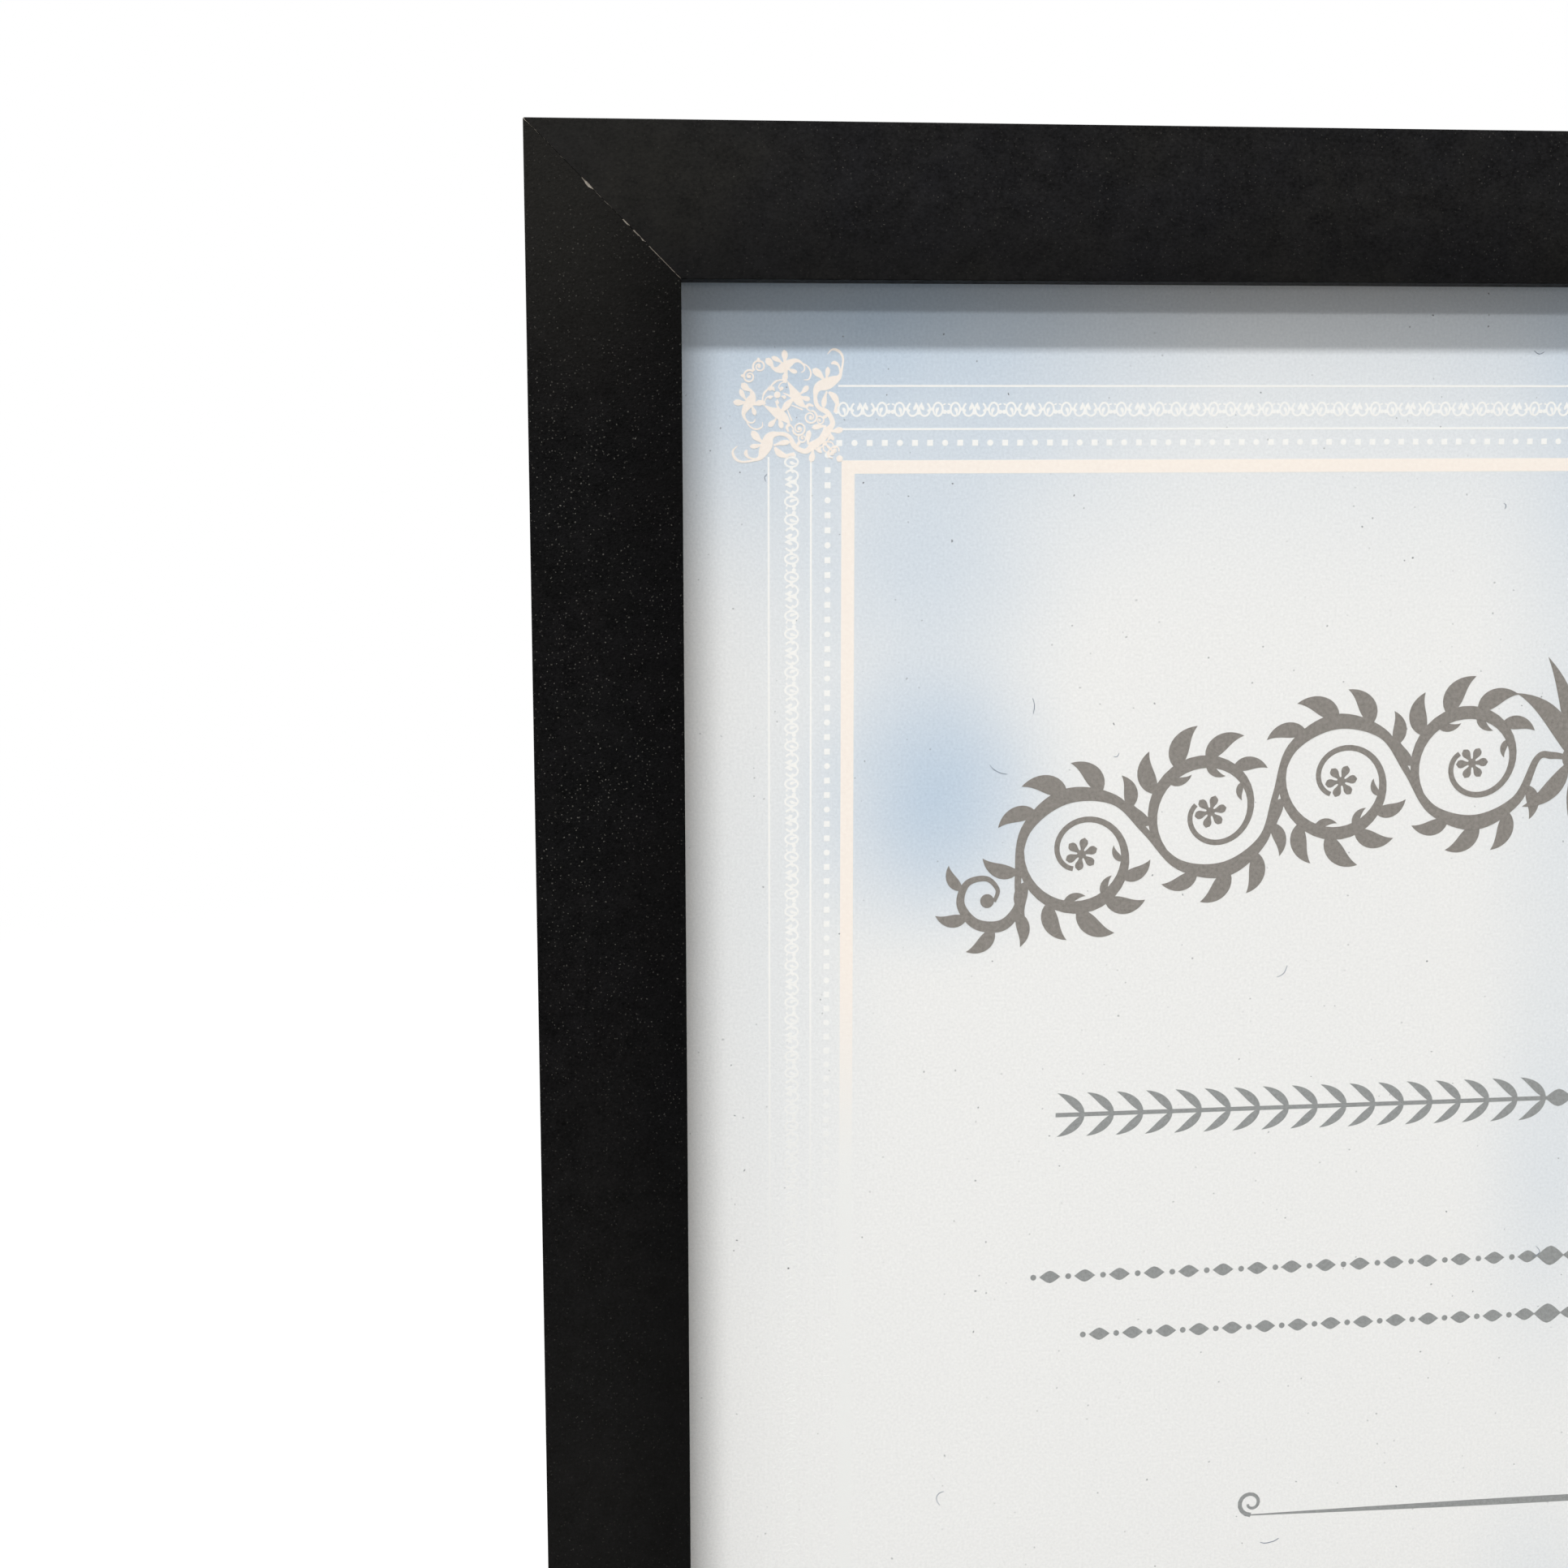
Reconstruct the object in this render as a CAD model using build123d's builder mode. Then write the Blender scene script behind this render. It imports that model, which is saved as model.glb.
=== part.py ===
from build123d import *
from math import atan2, cos, degrees, radians, sin, tan
import os

# Certificate frame: a mitred black moulding around a glazed letter sheet, with a backing board held in
# by turn buttons, two sawtooth wall hangers and an easel leg that folds flat against the backing.
# Millimetres. +X is the viewer's right, +Z is up and the front faces -Y.
# The origin is the middle of the bottom rail's underside, halfway through the moulding's depth.

# What lies in the rabbet, from the front to the back
sheet_width = 215.9
sheet_height = 279.4
glass_thickness = 2.0
sheet_thickness = 0.25
filler_thickness = 3.25
board_thickness = 3.0
glass_edge_chamfer = 0.25

# Moulding
face_width = 15.9
lip_thickness = 7.0
lip_overlap = 4.8
rabbet_play = 0.8
board_recess = 0.4
face_edge_radius = 0.6
back_edge_radius = 0.4

# Corner v-nails
v_nail_arm = 4.2
v_nail_thickness = 0.6
v_nail_depth = 8.0

# Clearances
fastener_clearance = 0.05
running_clearance = 0.05
button_play = 0.1
side_play = 0.3

# Turn buttons and their screws
button_pivot_radius = 4.2
button_tip_radius = 3.0
button_reach = 11.0
button_thickness = 1.2
button_edge_chamfer = 0.2
side_button_offset = 76.0
end_button_offset = 65.0
screw_head_radius = 2.9
screw_head_height = 1.8
screw_head_edge = 0.7
screw_shank_radius = 1.45
screw_length = 10.5
screw_point = 2.0
recess_length = 3.4
recess_width = 0.8
recess_depth = 1.1

# Sawtooth hangers and their nails
hanger_length = 44.0
hanger_width = 8.4
hanger_thickness = 0.8
hanger_rise = 1.8
hanger_span = 26.0
hanger_ramp = 2.4
hanger_bend_radius = 0.9
hanger_end_radius = 1.5
tooth_pitch = 2.4
tooth_depth = 1.3
nail_inset = 3.2
nail_head_radius = 1.6
nail_head_height = 0.5
nail_shank_radius = 0.65
nail_length = 9.0
nail_point = 1.2

# Easel leg
hinge_height = 174.0
leg_thickness = 3.0
leg_clearance = 0.3
leg_foot_height = 4.0
leg_top_width = 48.0
leg_foot_width = 72.0
leg_corner_radius = 4.0
leg_open_angle = 25.0

# Easel hinge
leaf_thickness = 0.8
hinge_width = 36.0
middle_knuckle_length = 17.4
leaf_height = 20.0
leaf_corner_radius = 2.0
knuckle_gap = 0.4
stop_tab_width = 10.0
stop_tab_length = 8.0
stop_gap = 0.1

# Hinge rivets
rivet_spacing = 22.0
rivet_height = 13.5
rivet_head_radius = 2.6
rivet_head_height = 0.9
rivet_shank_radius = 1.25
rivet_flange_radius = 2.0
rivet_flange_thickness = 0.6

# Frame sizes that follow from the sheet and the moulding
frame_width = sheet_width - 2 * lip_overlap + 2 * face_width
frame_height = sheet_height - 2 * lip_overlap + 2 * face_width
middle_height = frame_height / 2
rabbet_width = lip_overlap + rabbet_play
back_width = face_width - rabbet_width
fastener_line = back_width / 2
contents_depth = glass_thickness + sheet_thickness + filler_thickness + board_thickness
frame_depth = lip_thickness + contents_depth + board_recess

# Depths along Y of the faces, from the front to the back
front_y = -frame_depth / 2
glass_y = front_y + lip_thickness
sheet_y = glass_y + glass_thickness
filler_y = sheet_y + sheet_thickness
board_y = filler_y + filler_thickness
board_back_y = board_y + board_thickness
back_y = frame_depth / 2
button_y = back_y + button_play
screw_seat_y = button_y + button_thickness + button_play
leg_y = back_y + leg_clearance
leg_back_y = leg_y + leg_thickness
leaf_back_y = leg_back_y + leaf_thickness

# Hinge sizes that follow: the knuckles reach from the backing to the back of the leg's leaf
knuckle_radius = (leaf_back_y - board_back_y) / 2
hinge_y = board_back_y + knuckle_radius
knuckle_bore = knuckle_radius - leaf_thickness
pin_radius = knuckle_bore - running_clearance
outer_knuckle_length = (hinge_width - middle_knuckle_length) / 2 - side_play
leaf_cut = knuckle_radius + knuckle_gap
flange_recess = rivet_flange_thickness + fastener_clearance
rivet_hole_radius = rivet_shank_radius + fastener_clearance
flange_hole_radius = rivet_flange_radius + fastener_clearance

# The frame's lean on its open leg, which sets the slope of the foot
foot_out = leg_back_y - hinge_y
foot_down = hinge_height - leg_foot_height
open_turn = radians(leg_open_angle)
open_foot_y = hinge_y + foot_out * cos(open_turn) + foot_down * sin(open_turn)
open_foot_z = hinge_height + foot_out * sin(open_turn) - foot_down * cos(open_turn)
lean_angle = degrees(atan2(open_foot_z, open_foot_y - back_y))
foot_rise = leg_thickness * tan(radians(leg_open_angle - lean_angle))

# Places of the turn buttons: name, X, Z and the turn about Y that points the tip inward
side_x = frame_width / 2 - fastener_line
upper_z = middle_height + side_button_offset
lower_z = middle_height - side_button_offset
top_z = frame_height - fastener_line
button_places = [
    ("turn_button_left_upper", -side_x, upper_z, 0),
    ("turn_button_left_lower", -side_x, lower_z, 0),
    ("turn_button_right_upper", side_x, upper_z, 180),
    ("turn_button_right_lower", side_x, lower_z, 180),
    ("turn_button_top_left", -end_button_offset, top_z, 90),
    ("turn_button_top_right", end_button_offset, top_z, 90),
    ("turn_button_bottom_left", -end_button_offset, fastener_line, -90),
    ("turn_button_bottom_right", end_button_offset, fastener_line, -90),
]

# Places of the hangers: name, X, Z and the turn about Y that points the teeth inward
hanger_places = [
    ("top_hanger", 0, top_z, 0),
    ("side_hanger", -side_x, middle_height, -90),
]
nail_offset = hanger_length / 2 - nail_inset
nail_places = [
    (-nail_offset, top_z),
    (nail_offset, top_z),
    (-side_x, middle_height - nail_offset),
    (-side_x, middle_height + nail_offset),
]
rivet_columns = [-rivet_spacing / 2, rivet_spacing / 2]


def facing_plane(depth):
    """Plane across the frame at a depth along Y, with its x along +X and its y along +Z."""
    return Plane.XZ.offset(-depth)


def back_points(places, depth):
    """Planes at points on the frame's back, whose holes run towards the front."""
    return [Plane(origin=(x, depth, z), x_dir=(1, 0, 0), z_dir=(0, 1, 0)) for x, z in places]


def v_nail_outlines(growth):
    """Sketches the four corner v-nails in X and Z, each grown by a clearance all round."""
    apex = (back_width + v_nail_arm) / 2
    half = v_nail_thickness / 2 + growth
    arm = v_nail_arm + growth
    for side, corner_z, up in ((-1, 0, 1), (1, 0, 1), (-1, frame_height, -1), (1, frame_height, -1)):
        x = side * (frame_width / 2 - apex)
        z = corner_z + up * apex
        with Locations((x + side * (arm - half) / 2, z)):
            Rectangle(arm + half, 2 * half)
        with Locations((x, z - up * (arm - half) / 2)):
            Rectangle(2 * half, arm + half)


def moulding(middle, inward, along, half_length):
    """Builds one mitred rail, with its pilot holes and v-nail slots.

    middle is the middle of the rail's outer face, inward points to the window and along runs the rail.
    """
    middle = Vector(*middle)
    inward = Vector(*inward)
    along = Vector(*along)
    with BuildPart() as rail:
        with BuildSketch(Plane(origin=middle, x_dir=inward, z_dir=along)) as section:
            with BuildLine():
                Polyline(
                    (0, front_y),
                    (face_width, front_y),
                    (face_width, glass_y),
                    (back_width, glass_y),
                    (back_width, back_y),
                    (0, back_y),
                    close=True,
                )
            make_face()
            fillet(section.vertices().group_by(Axis.Y)[0], face_edge_radius)
            fillet(section.vertices().group_by(Axis.Y)[-1].sort_by(Axis.X)[0], back_edge_radius)
        extrude(amount=half_length, both=True)
        for end in (along, -along):
            split(bisect_by=Plane(origin=middle + end * half_length, z_dir=end + inward), keep=Keep.BOTTOM)
        with Locations(*back_points([place[1:3] for place in button_places], back_y)):
            Hole(radius=screw_shank_radius + fastener_clearance, depth=screw_length + fastener_clearance)
        with Locations(*back_points(nail_places, back_y)):
            Hole(radius=nail_shank_radius + fastener_clearance, depth=nail_length + fastener_clearance)
        with BuildSketch(facing_plane(back_y)):
            v_nail_outlines(fastener_clearance)
        extrude(amount=v_nail_depth + fastener_clearance, mode=Mode.SUBTRACT)
    return rail


def flat_sheet(depth, thickness):
    """Builds one flat layer of the rabbet's contents, with its front face at a depth along Y."""
    with BuildPart() as layer:
        with BuildSketch(facing_plane(depth)):
            with Locations((0, middle_height)):
                Rectangle(sheet_width, sheet_height)
        extrude(amount=-thickness)
    return layer


def headed_pin(head_points, shank_radius, length, point_length):
    """Builds a pointed pin along Y, with its head's seat at Y = 0 and its head towards +Y.

    head_points run from the head's top on the axis to the head's rim at the seat.
    """
    with BuildPart() as pin:
        with BuildSketch(Plane.XY):
            with BuildLine():
                Polyline(
                    *head_points,
                    (shank_radius, 0),
                    (shank_radius, point_length - length),
                    (0, -length),
                    close=True,
                )
            make_face()
        revolve(axis=Axis.Y)
    return pin


def hinge_rivet(grip):
    """Builds a domed rivet along Y, with its head's seat at Y = 0 and a clinched flange past the grip."""
    with BuildPart() as rivet:
        with BuildSketch(Plane.XY):
            with BuildLine():
                TangentArc((0, rivet_head_height), (rivet_head_radius, 0), tangent=(1, 0))
                Polyline(
                    (rivet_head_radius, 0),
                    (rivet_shank_radius, 0),
                    (rivet_shank_radius, -grip),
                    (rivet_flange_radius, -grip),
                    (rivet_flange_radius, -grip - rivet_flange_thickness),
                    (0, -grip - rivet_flange_thickness),
                    (0, rivet_head_height),
                )
            make_face()
        revolve(axis=Axis.Y)
    return rivet


def hinge_leaf(depth, upward, cut_columns, knuckle_columns, knuckle_length):
    """Builds one leaf of the hinge: its plate at a depth along Y, its knuckles, rivet holes and cuts.

    upward is 1 for the plate that stands above the pin and -1 for the one that hangs below it.
    cut_columns hold the middle and width of each cut that clears the other leaf's knuckles.
    """
    with BuildPart() as leaf:
        with BuildSketch(facing_plane(depth)) as plate:
            with Locations((0, hinge_height + upward * leaf_height / 2)):
                Rectangle(hinge_width, leaf_height)
            far_corners = plate.vertices().sort_by(Axis.Y)
            fillet(far_corners[-2:] if upward > 0 else far_corners[:2], leaf_corner_radius)
            for column, width in cut_columns:
                with Locations((column, hinge_height + upward * leaf_cut / 2)):
                    Rectangle(width, leaf_cut, mode=Mode.SUBTRACT)
            with Locations(*[(column, hinge_height + upward * rivet_height) for column in rivet_columns]):
                Circle(rivet_hole_radius, mode=Mode.SUBTRACT)
        extrude(amount=-leaf_thickness)
        for column in knuckle_columns:
            with BuildSketch(Plane(origin=(column, hinge_y, hinge_height), x_dir=(0, 1, 0), z_dir=(1, 0, 0))):
                Circle(knuckle_radius)
                Circle(knuckle_bore, mode=Mode.SUBTRACT)
            extrude(amount=knuckle_length / 2, both=True)
    return leaf


def finish_piece(piece, name):
    """Labels a finished piece and writes it under its name."""
    piece.part.label = name
    export_step(piece.part, f"parts/{name}.step")


os.makedirs("parts", exist_ok=True)

# Moulding: four mitred rails with their v-nails
half_width = frame_width / 2
half_height = frame_height / 2
finish_piece(moulding((0, 0, frame_height), (0, 0, -1), (1, 0, 0), half_width), "top_rail")
finish_piece(moulding((0, 0, 0), (0, 0, 1), (-1, 0, 0), half_width), "bottom_rail")
finish_piece(moulding((-half_width, 0, middle_height), (1, 0, 0), (0, 0, 1), half_height), "left_rail")
finish_piece(moulding((half_width, 0, middle_height), (-1, 0, 0), (0, 0, -1), half_height), "right_rail")

with BuildPart() as corner_v_nails:
    with BuildSketch(facing_plane(back_y)):
        v_nail_outlines(0)
    extrude(amount=v_nail_depth)
finish_piece(corner_v_nails, "corner_v_nails")

# Contents of the rabbet
with BuildPart() as glass_pane:
    with BuildSketch(facing_plane(glass_y)):
        with Locations((0, middle_height)):
            Rectangle(sheet_width, sheet_height)
    extrude(amount=-glass_thickness)
    chamfer(glass_pane.edges(), glass_edge_chamfer)
finish_piece(glass_pane, "glass_pane")
finish_piece(flat_sheet(sheet_y, sheet_thickness), "certificate_sheet")
finish_piece(flat_sheet(filler_y, filler_thickness), "filler_card")

with BuildPart() as backing_board:
    with BuildSketch(facing_plane(board_y)):
        with Locations((0, middle_height)):
            Rectangle(sheet_width, sheet_height)
    extrude(amount=-board_thickness)
    plate_rivet_places = [(column, hinge_height + rivet_height) for column in rivet_columns]
    with Locations(*[Location((x, board_y, z), (90, 0, 0)) for x, z in plate_rivet_places]):
        CounterBoreHole(rivet_hole_radius, flange_hole_radius, flange_recess, board_thickness)
finish_piece(backing_board, "backing_board")

# Turn buttons: one plate, set at each place with its tip inward, and its screw
with BuildPart() as turn_button:
    with BuildSketch(facing_plane(0)):
        Circle(button_pivot_radius)
        with Locations((button_reach, 0)):
            Circle(button_tip_radius)
        make_hull()
        Circle(screw_shank_radius + running_clearance, mode=Mode.SUBTRACT)
    extrude(amount=-button_thickness)
    chamfer(turn_button.faces().sort_by(Axis.Y)[-1].outer_wire().edges(), button_edge_chamfer)

for button_name, button_x, button_z, inward_turn in button_places:
    with BuildPart() as placed_button:
        with Locations(Location((button_x, button_y, button_z), (0, inward_turn, 0))):
            add(turn_button.part)
    finish_piece(placed_button, button_name)

with BuildPart() as turn_button_screw:
    add(
        headed_pin(
            [
                (0, screw_head_height),
                (screw_head_radius - screw_head_edge, screw_head_height),
                (screw_head_radius, screw_head_height - screw_head_edge),
                (screw_head_radius, 0),
            ],
            screw_shank_radius,
            screw_length + screw_seat_y - back_y,
            screw_point,
        ).part
    )
    with BuildSketch(facing_plane(screw_head_height)):
        Rectangle(recess_length, recess_width)
        Rectangle(recess_width, recess_length)
    extrude(amount=recess_depth, mode=Mode.SUBTRACT)

with BuildPart() as turn_button_screws:
    with Locations(*[(x, screw_seat_y, z) for name, x, z, turn in button_places]):
        add(turn_button_screw.part)
finish_piece(turn_button_screws, "turn_button_screws")

# Sawtooth hangers: a bent strip with its teeth along the inner edge of the raised span
with BuildPart() as sawtooth_hanger:
    with BuildSketch(Plane.XY):
        with BuildLine():
            FilletPolyline(
                (-hanger_length / 2, hanger_thickness / 2),
                (-hanger_span / 2 - hanger_ramp, hanger_thickness / 2),
                (-hanger_span / 2, hanger_thickness / 2 + hanger_rise),
                (hanger_span / 2, hanger_thickness / 2 + hanger_rise),
                (hanger_span / 2 + hanger_ramp, hanger_thickness / 2),
                (hanger_length / 2, hanger_thickness / 2),
                radius=hanger_bend_radius,
            )
        trace(line_width=hanger_thickness)
    extrude(amount=hanger_width / 2, both=True)
    tooth_count = int((hanger_span - tooth_pitch) / tooth_pitch)
    with BuildSketch(facing_plane(0)):
        with Locations((0, -hanger_width / 2)):
            with GridLocations(tooth_pitch, 0, tooth_count, 1):
                Polygon((-tooth_pitch / 2, 0), (tooth_pitch / 2, 0), (0, tooth_depth))
    extrude(amount=-hanger_rise - hanger_thickness, mode=Mode.SUBTRACT)
    end_edges = sawtooth_hanger.edges().filter_by(Axis.Y).group_by(Axis.X)
    fillet(end_edges[0] + end_edges[-1], hanger_end_radius)
    with Locations(*back_points([(-nail_offset, 0), (nail_offset, 0)], hanger_thickness)):
        Hole(radius=nail_shank_radius + fastener_clearance, depth=hanger_thickness)

for hanger_name, hanger_x, hanger_z, inward_turn in hanger_places:
    with BuildPart() as placed_hanger:
        with Locations(Location((hanger_x, back_y, hanger_z), (0, inward_turn, 0))):
            add(sawtooth_hanger.part)
    finish_piece(placed_hanger, hanger_name)

hanger_nail = headed_pin(
    [(0, nail_head_height), (nail_head_radius, nail_head_height), (nail_head_radius, 0)],
    nail_shank_radius,
    nail_length + hanger_thickness,
    nail_point,
)
with BuildPart() as hanger_nails:
    with Locations(*[(x, back_y + hanger_thickness, z) for x, z in nail_places]):
        add(hanger_nail.part)
finish_piece(hanger_nails, "hanger_nails")

# Easel hinge: the plate on the backing, the pin, and the leaf on the leg with its stop tab
outer_column = (hinge_width - outer_knuckle_length) / 2
outer_cut_width = outer_knuckle_length + side_play
outer_cut_column = (hinge_width - outer_cut_width) / 2
easel_hinge_plate = hinge_leaf(
    board_back_y,
    1,
    [(0, middle_knuckle_length + 2 * side_play)],
    [-outer_column, outer_column],
    outer_knuckle_length,
)
finish_piece(easel_hinge_plate, "easel_hinge_plate")

with BuildPart() as easel_hinge_pin:
    with BuildSketch(Plane(origin=(0, hinge_y, hinge_height), x_dir=(0, 1, 0), z_dir=(1, 0, 0))):
        Circle(pin_radius)
    extrude(amount=hinge_width / 2, both=True)
finish_piece(easel_hinge_pin, "easel_hinge_pin")

with BuildPart() as easel_hinge_leaf:
    add(
        hinge_leaf(
            leg_back_y,
            -1,
            [(-outer_cut_column, outer_cut_width), (outer_cut_column, outer_cut_width)],
            [0],
            middle_knuckle_length,
        ).part
    )
    # The tab stands off the middle knuckle and meets the hinge plate when the leg is fully open
    tab_plane = Plane(
        origin=(0, hinge_y, hinge_height),
        x_dir=(0, cos(open_turn), -sin(open_turn)),
        z_dir=(1, 0, 0),
    )
    with BuildSketch(tab_plane):
        with Locations((stop_gap - knuckle_bore, knuckle_bore)):
            Rectangle(leaf_thickness, stop_tab_length - knuckle_bore, align=(Align.MIN, Align.MIN))
    extrude(amount=stop_tab_width / 2, both=True)
finish_piece(easel_hinge_leaf, "easel_hinge_leaf")

with BuildPart() as hinge_plate_rivets:
    with Locations(*[(x, board_back_y + leaf_thickness, z) for x, z in plate_rivet_places]):
        add(hinge_rivet(leaf_thickness + board_thickness - flange_recess).part)
finish_piece(hinge_plate_rivets, "hinge_plate_rivets")

leaf_rivet_places = [(column, hinge_height - rivet_height) for column in rivet_columns]
with BuildPart() as hinge_leaf_rivets:
    with Locations(*[(x, leaf_back_y, z) for x, z in leaf_rivet_places]):
        add(hinge_rivet(leaf_thickness + leg_thickness - flange_recess).part)
finish_piece(hinge_leaf_rivets, "hinge_leaf_rivets")

# Easel leg: a tapered board whose foot is sloped to stand flat when the leg is open
leg_top_z = hinge_height - leaf_cut
with BuildPart() as easel_leg:
    with BuildSketch(facing_plane(leg_y)) as leg_outline:
        with BuildLine():
            Polyline(
                (-leg_foot_width / 2, leg_foot_height),
                (leg_foot_width / 2, leg_foot_height),
                (leg_top_width / 2, leg_top_z),
                (-leg_top_width / 2, leg_top_z),
                close=True,
            )
        make_face()
        fillet(leg_outline.vertices(), leg_corner_radius)
    extrude(amount=-leg_thickness)
    foot_slope = Plane(
        origin=(0, leg_back_y, leg_foot_height),
        x_dir=(1, 0, 0),
        z_dir=(0, foot_rise, leg_thickness),
    )
    split(bisect_by=foot_slope, keep=Keep.TOP)
    with Locations(*[Location((x, leg_y, z), (90, 0, 0)) for x, z in leaf_rivet_places]):
        CounterBoreHole(rivet_hole_radius, flange_hole_radius, flange_recess, leg_thickness)
finish_piece(easel_leg, "easel_leg")
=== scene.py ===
"""Certificate frame: a black mitred moulding around a glazed, printed sheet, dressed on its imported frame."""
import logging
import math
import random
from collections.abc import Callable, Sequence
from dataclasses import dataclass, field
from enum import Enum

import bmesh
import bpy
from mathutils import Matrix, Vector


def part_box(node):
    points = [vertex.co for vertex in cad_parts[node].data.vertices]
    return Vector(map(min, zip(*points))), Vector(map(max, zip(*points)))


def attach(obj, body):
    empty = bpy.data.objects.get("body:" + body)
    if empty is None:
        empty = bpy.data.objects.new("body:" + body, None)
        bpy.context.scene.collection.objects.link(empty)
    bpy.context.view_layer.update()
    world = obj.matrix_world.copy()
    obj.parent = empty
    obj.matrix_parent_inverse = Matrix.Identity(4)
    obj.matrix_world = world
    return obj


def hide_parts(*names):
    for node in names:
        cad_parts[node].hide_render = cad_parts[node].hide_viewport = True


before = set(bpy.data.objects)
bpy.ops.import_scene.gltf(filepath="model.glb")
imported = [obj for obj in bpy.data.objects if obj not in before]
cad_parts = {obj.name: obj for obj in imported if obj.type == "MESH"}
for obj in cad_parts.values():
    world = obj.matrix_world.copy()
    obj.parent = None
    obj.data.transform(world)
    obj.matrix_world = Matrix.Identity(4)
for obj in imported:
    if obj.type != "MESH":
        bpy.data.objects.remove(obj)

MM = 0.001
FULL_TURN = 6.28
BOARD_PLAY = 0.8
INK_ROOM = 0.12
BACK_ROOM = 0.02
log = logging.getLogger("certificate_frame")

Point = tuple[float, float]
Drawn = Sequence[tuple[float, float, float]]
Colour = tuple[float, float, float, float]


class Side(Enum):
    """The side of the frame that a rail closes."""

    TOP = "top_rail"
    BOTTOM = "bottom_rail"
    LEFT = "left_rail"
    RIGHT = "right_rail"

    @property
    def upright(self) -> bool:
        """Tells the left and right rails from the top and bottom ones."""
        return self in (Side.LEFT, Side.RIGHT)


class Corner(Enum):
    """A mitred corner, as signs across and up from the middle."""

    TOP_LEFT = (-1, 1)
    TOP_RIGHT = (1, 1)
    BOTTOM_LEFT = (-1, -1)
    BOTTOM_RIGHT = (1, -1)


class Skin(Enum):
    """What a face of a rail shows, as the index of its material."""

    FOIL = 0
    BARE_CORE = 1
    RAW_BOARD = 2


def tone(red: float, green: float, blue: float) -> Colour:
    """Turns a colour as the eye reads it into light.

    Args:
        red: Red, 0 to 255.
        green: Green, 0 to 255.
        blue: Blue, 0 to 255.

    Returns:
        The linear colour with full alpha.
    """
    linear = [((c / 255 + 0.055) / 1.055) ** 2.4 if c > 10 else c / 255 / 12.92 for c in (red, green, blue)]
    return (linear[0], linear[1], linear[2], 1.0)


def feed(tree: bpy.types.NodeTree, node: bpy.types.Node, sockets: dict) -> None:
    """Sets inputs of a node.

    Args:
        tree: The node's tree.
        node: The node.
        sockets: Input names or numbers, each with a value or with the output that feeds it.
    """
    for key, value in sockets.items():
        if isinstance(value, bpy.types.NodeSocket):
            tree.links.new(value, node.inputs[key])
        else:
            node.inputs[key].default_value = value


def put(tree: bpy.types.NodeTree, kind: str, sockets: dict | None = None, **traits: object) -> bpy.types.Node:
    """Adds a node to a tree.

    Args:
        tree: The tree that takes the node.
        kind: The node's type.
        sockets: Input names or numbers, each with a value or with the output that feeds it.
        **traits: Properties of the node.

    Returns:
        The new node.
    """
    node = tree.nodes.new(kind)
    for trait, value in traits.items():
        setattr(node, trait, value)
    feed(tree, node, sockets or {})
    return node


def reckon(tree: bpy.types.NodeTree, operation: str, first: object,
           second: object = 0.0) -> bpy.types.NodeSocket:
    """Adds one step of arithmetic to a tree, on values or on outputs that feed it."""
    return put(tree, "ShaderNodeMath", {0: first, 1: second}, operation=operation).outputs[0]


def remap(tree: bpy.types.NodeTree, value: object, low: float, high: float, start: object = 0.0,
          end: object = 1.0, smooth: bool = False) -> bpy.types.NodeSocket:
    """Adds a node that maps a value to a range.

    Args:
        tree: The tree that takes it.
        value: What is mapped.
        low: The result at the start.
        high: The result at the end.
        start: The value where the range starts.
        end: The value where it ends.
        smooth: Eases both ends.

    Returns:
        The mapped value.
    """
    sockets = {"Value": value, "From Min": start, "From Max": end, "To Min": low, "To Max": high}
    easing = "SMOOTHSTEP" if smooth else "LINEAR"
    return put(tree, "ShaderNodeMapRange", sockets, interpolation_type=easing).outputs[0]


def smooth_line(drawn: Drawn, steps: int) -> list[tuple[float, ...]]:
    """Runs a smooth line through drawn points.

    Args:
        drawn: Points as across, up and width.
        steps: Pieces between two drawn points.

    Returns:
        The points of the line.
    """
    line = []
    last = len(drawn) - 1
    for k in range(last):
        near = (drawn[max(k - 1, 0)], drawn[k], drawn[k + 1], drawn[min(k + 2, last)])
        for t in (j / steps for j in range(steps)):
            line.append(tuple(0.5 * (2 * b + (c - a) * t + (2 * a - 5 * b + 4 * c - d) * t * t
                                     + (3 * b - a - 3 * c + d) * t ** 3) for a, b, c, d in zip(*near)))
    return line + [tuple(drawn[-1])]


def new_piece(name: str, mesh: bpy.types.Mesh) -> bpy.types.Object:
    """Puts a finished mesh in the scene as a piece of the fixed frame.

    Args:
        name: The piece's name.
        mesh: Its mesh, already in place.

    Returns:
        The piece, riding on the frame.
    """
    mesh.name = name
    piece = bpy.data.objects.new(name, mesh)
    bpy.context.scene.collection.objects.link(piece)
    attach(piece, "frame")
    log.info("%s: %d faces", name, len(mesh.polygons))
    return piece


def mesh_of(work: bmesh.types.BMesh, sharp: float = 30.0) -> bpy.types.Mesh:
    """Turns a built shape into a mesh with its faces outwards.

    Args:
        work: The shape, which is freed.
        sharp: Edges steeper than this angle, in degrees, stay sharp.

    Returns:
        The mesh.
    """
    bmesh.ops.recalc_face_normals(work, faces=work.faces)
    mesh = bpy.data.meshes.new("shape")
    work.to_mesh(mesh)
    work.free()
    mesh.polygons.foreach_set("use_smooth", [True] * len(mesh.polygons))
    mesh.set_sharp_from_angle(angle=math.radians(sharp))
    return mesh


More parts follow.
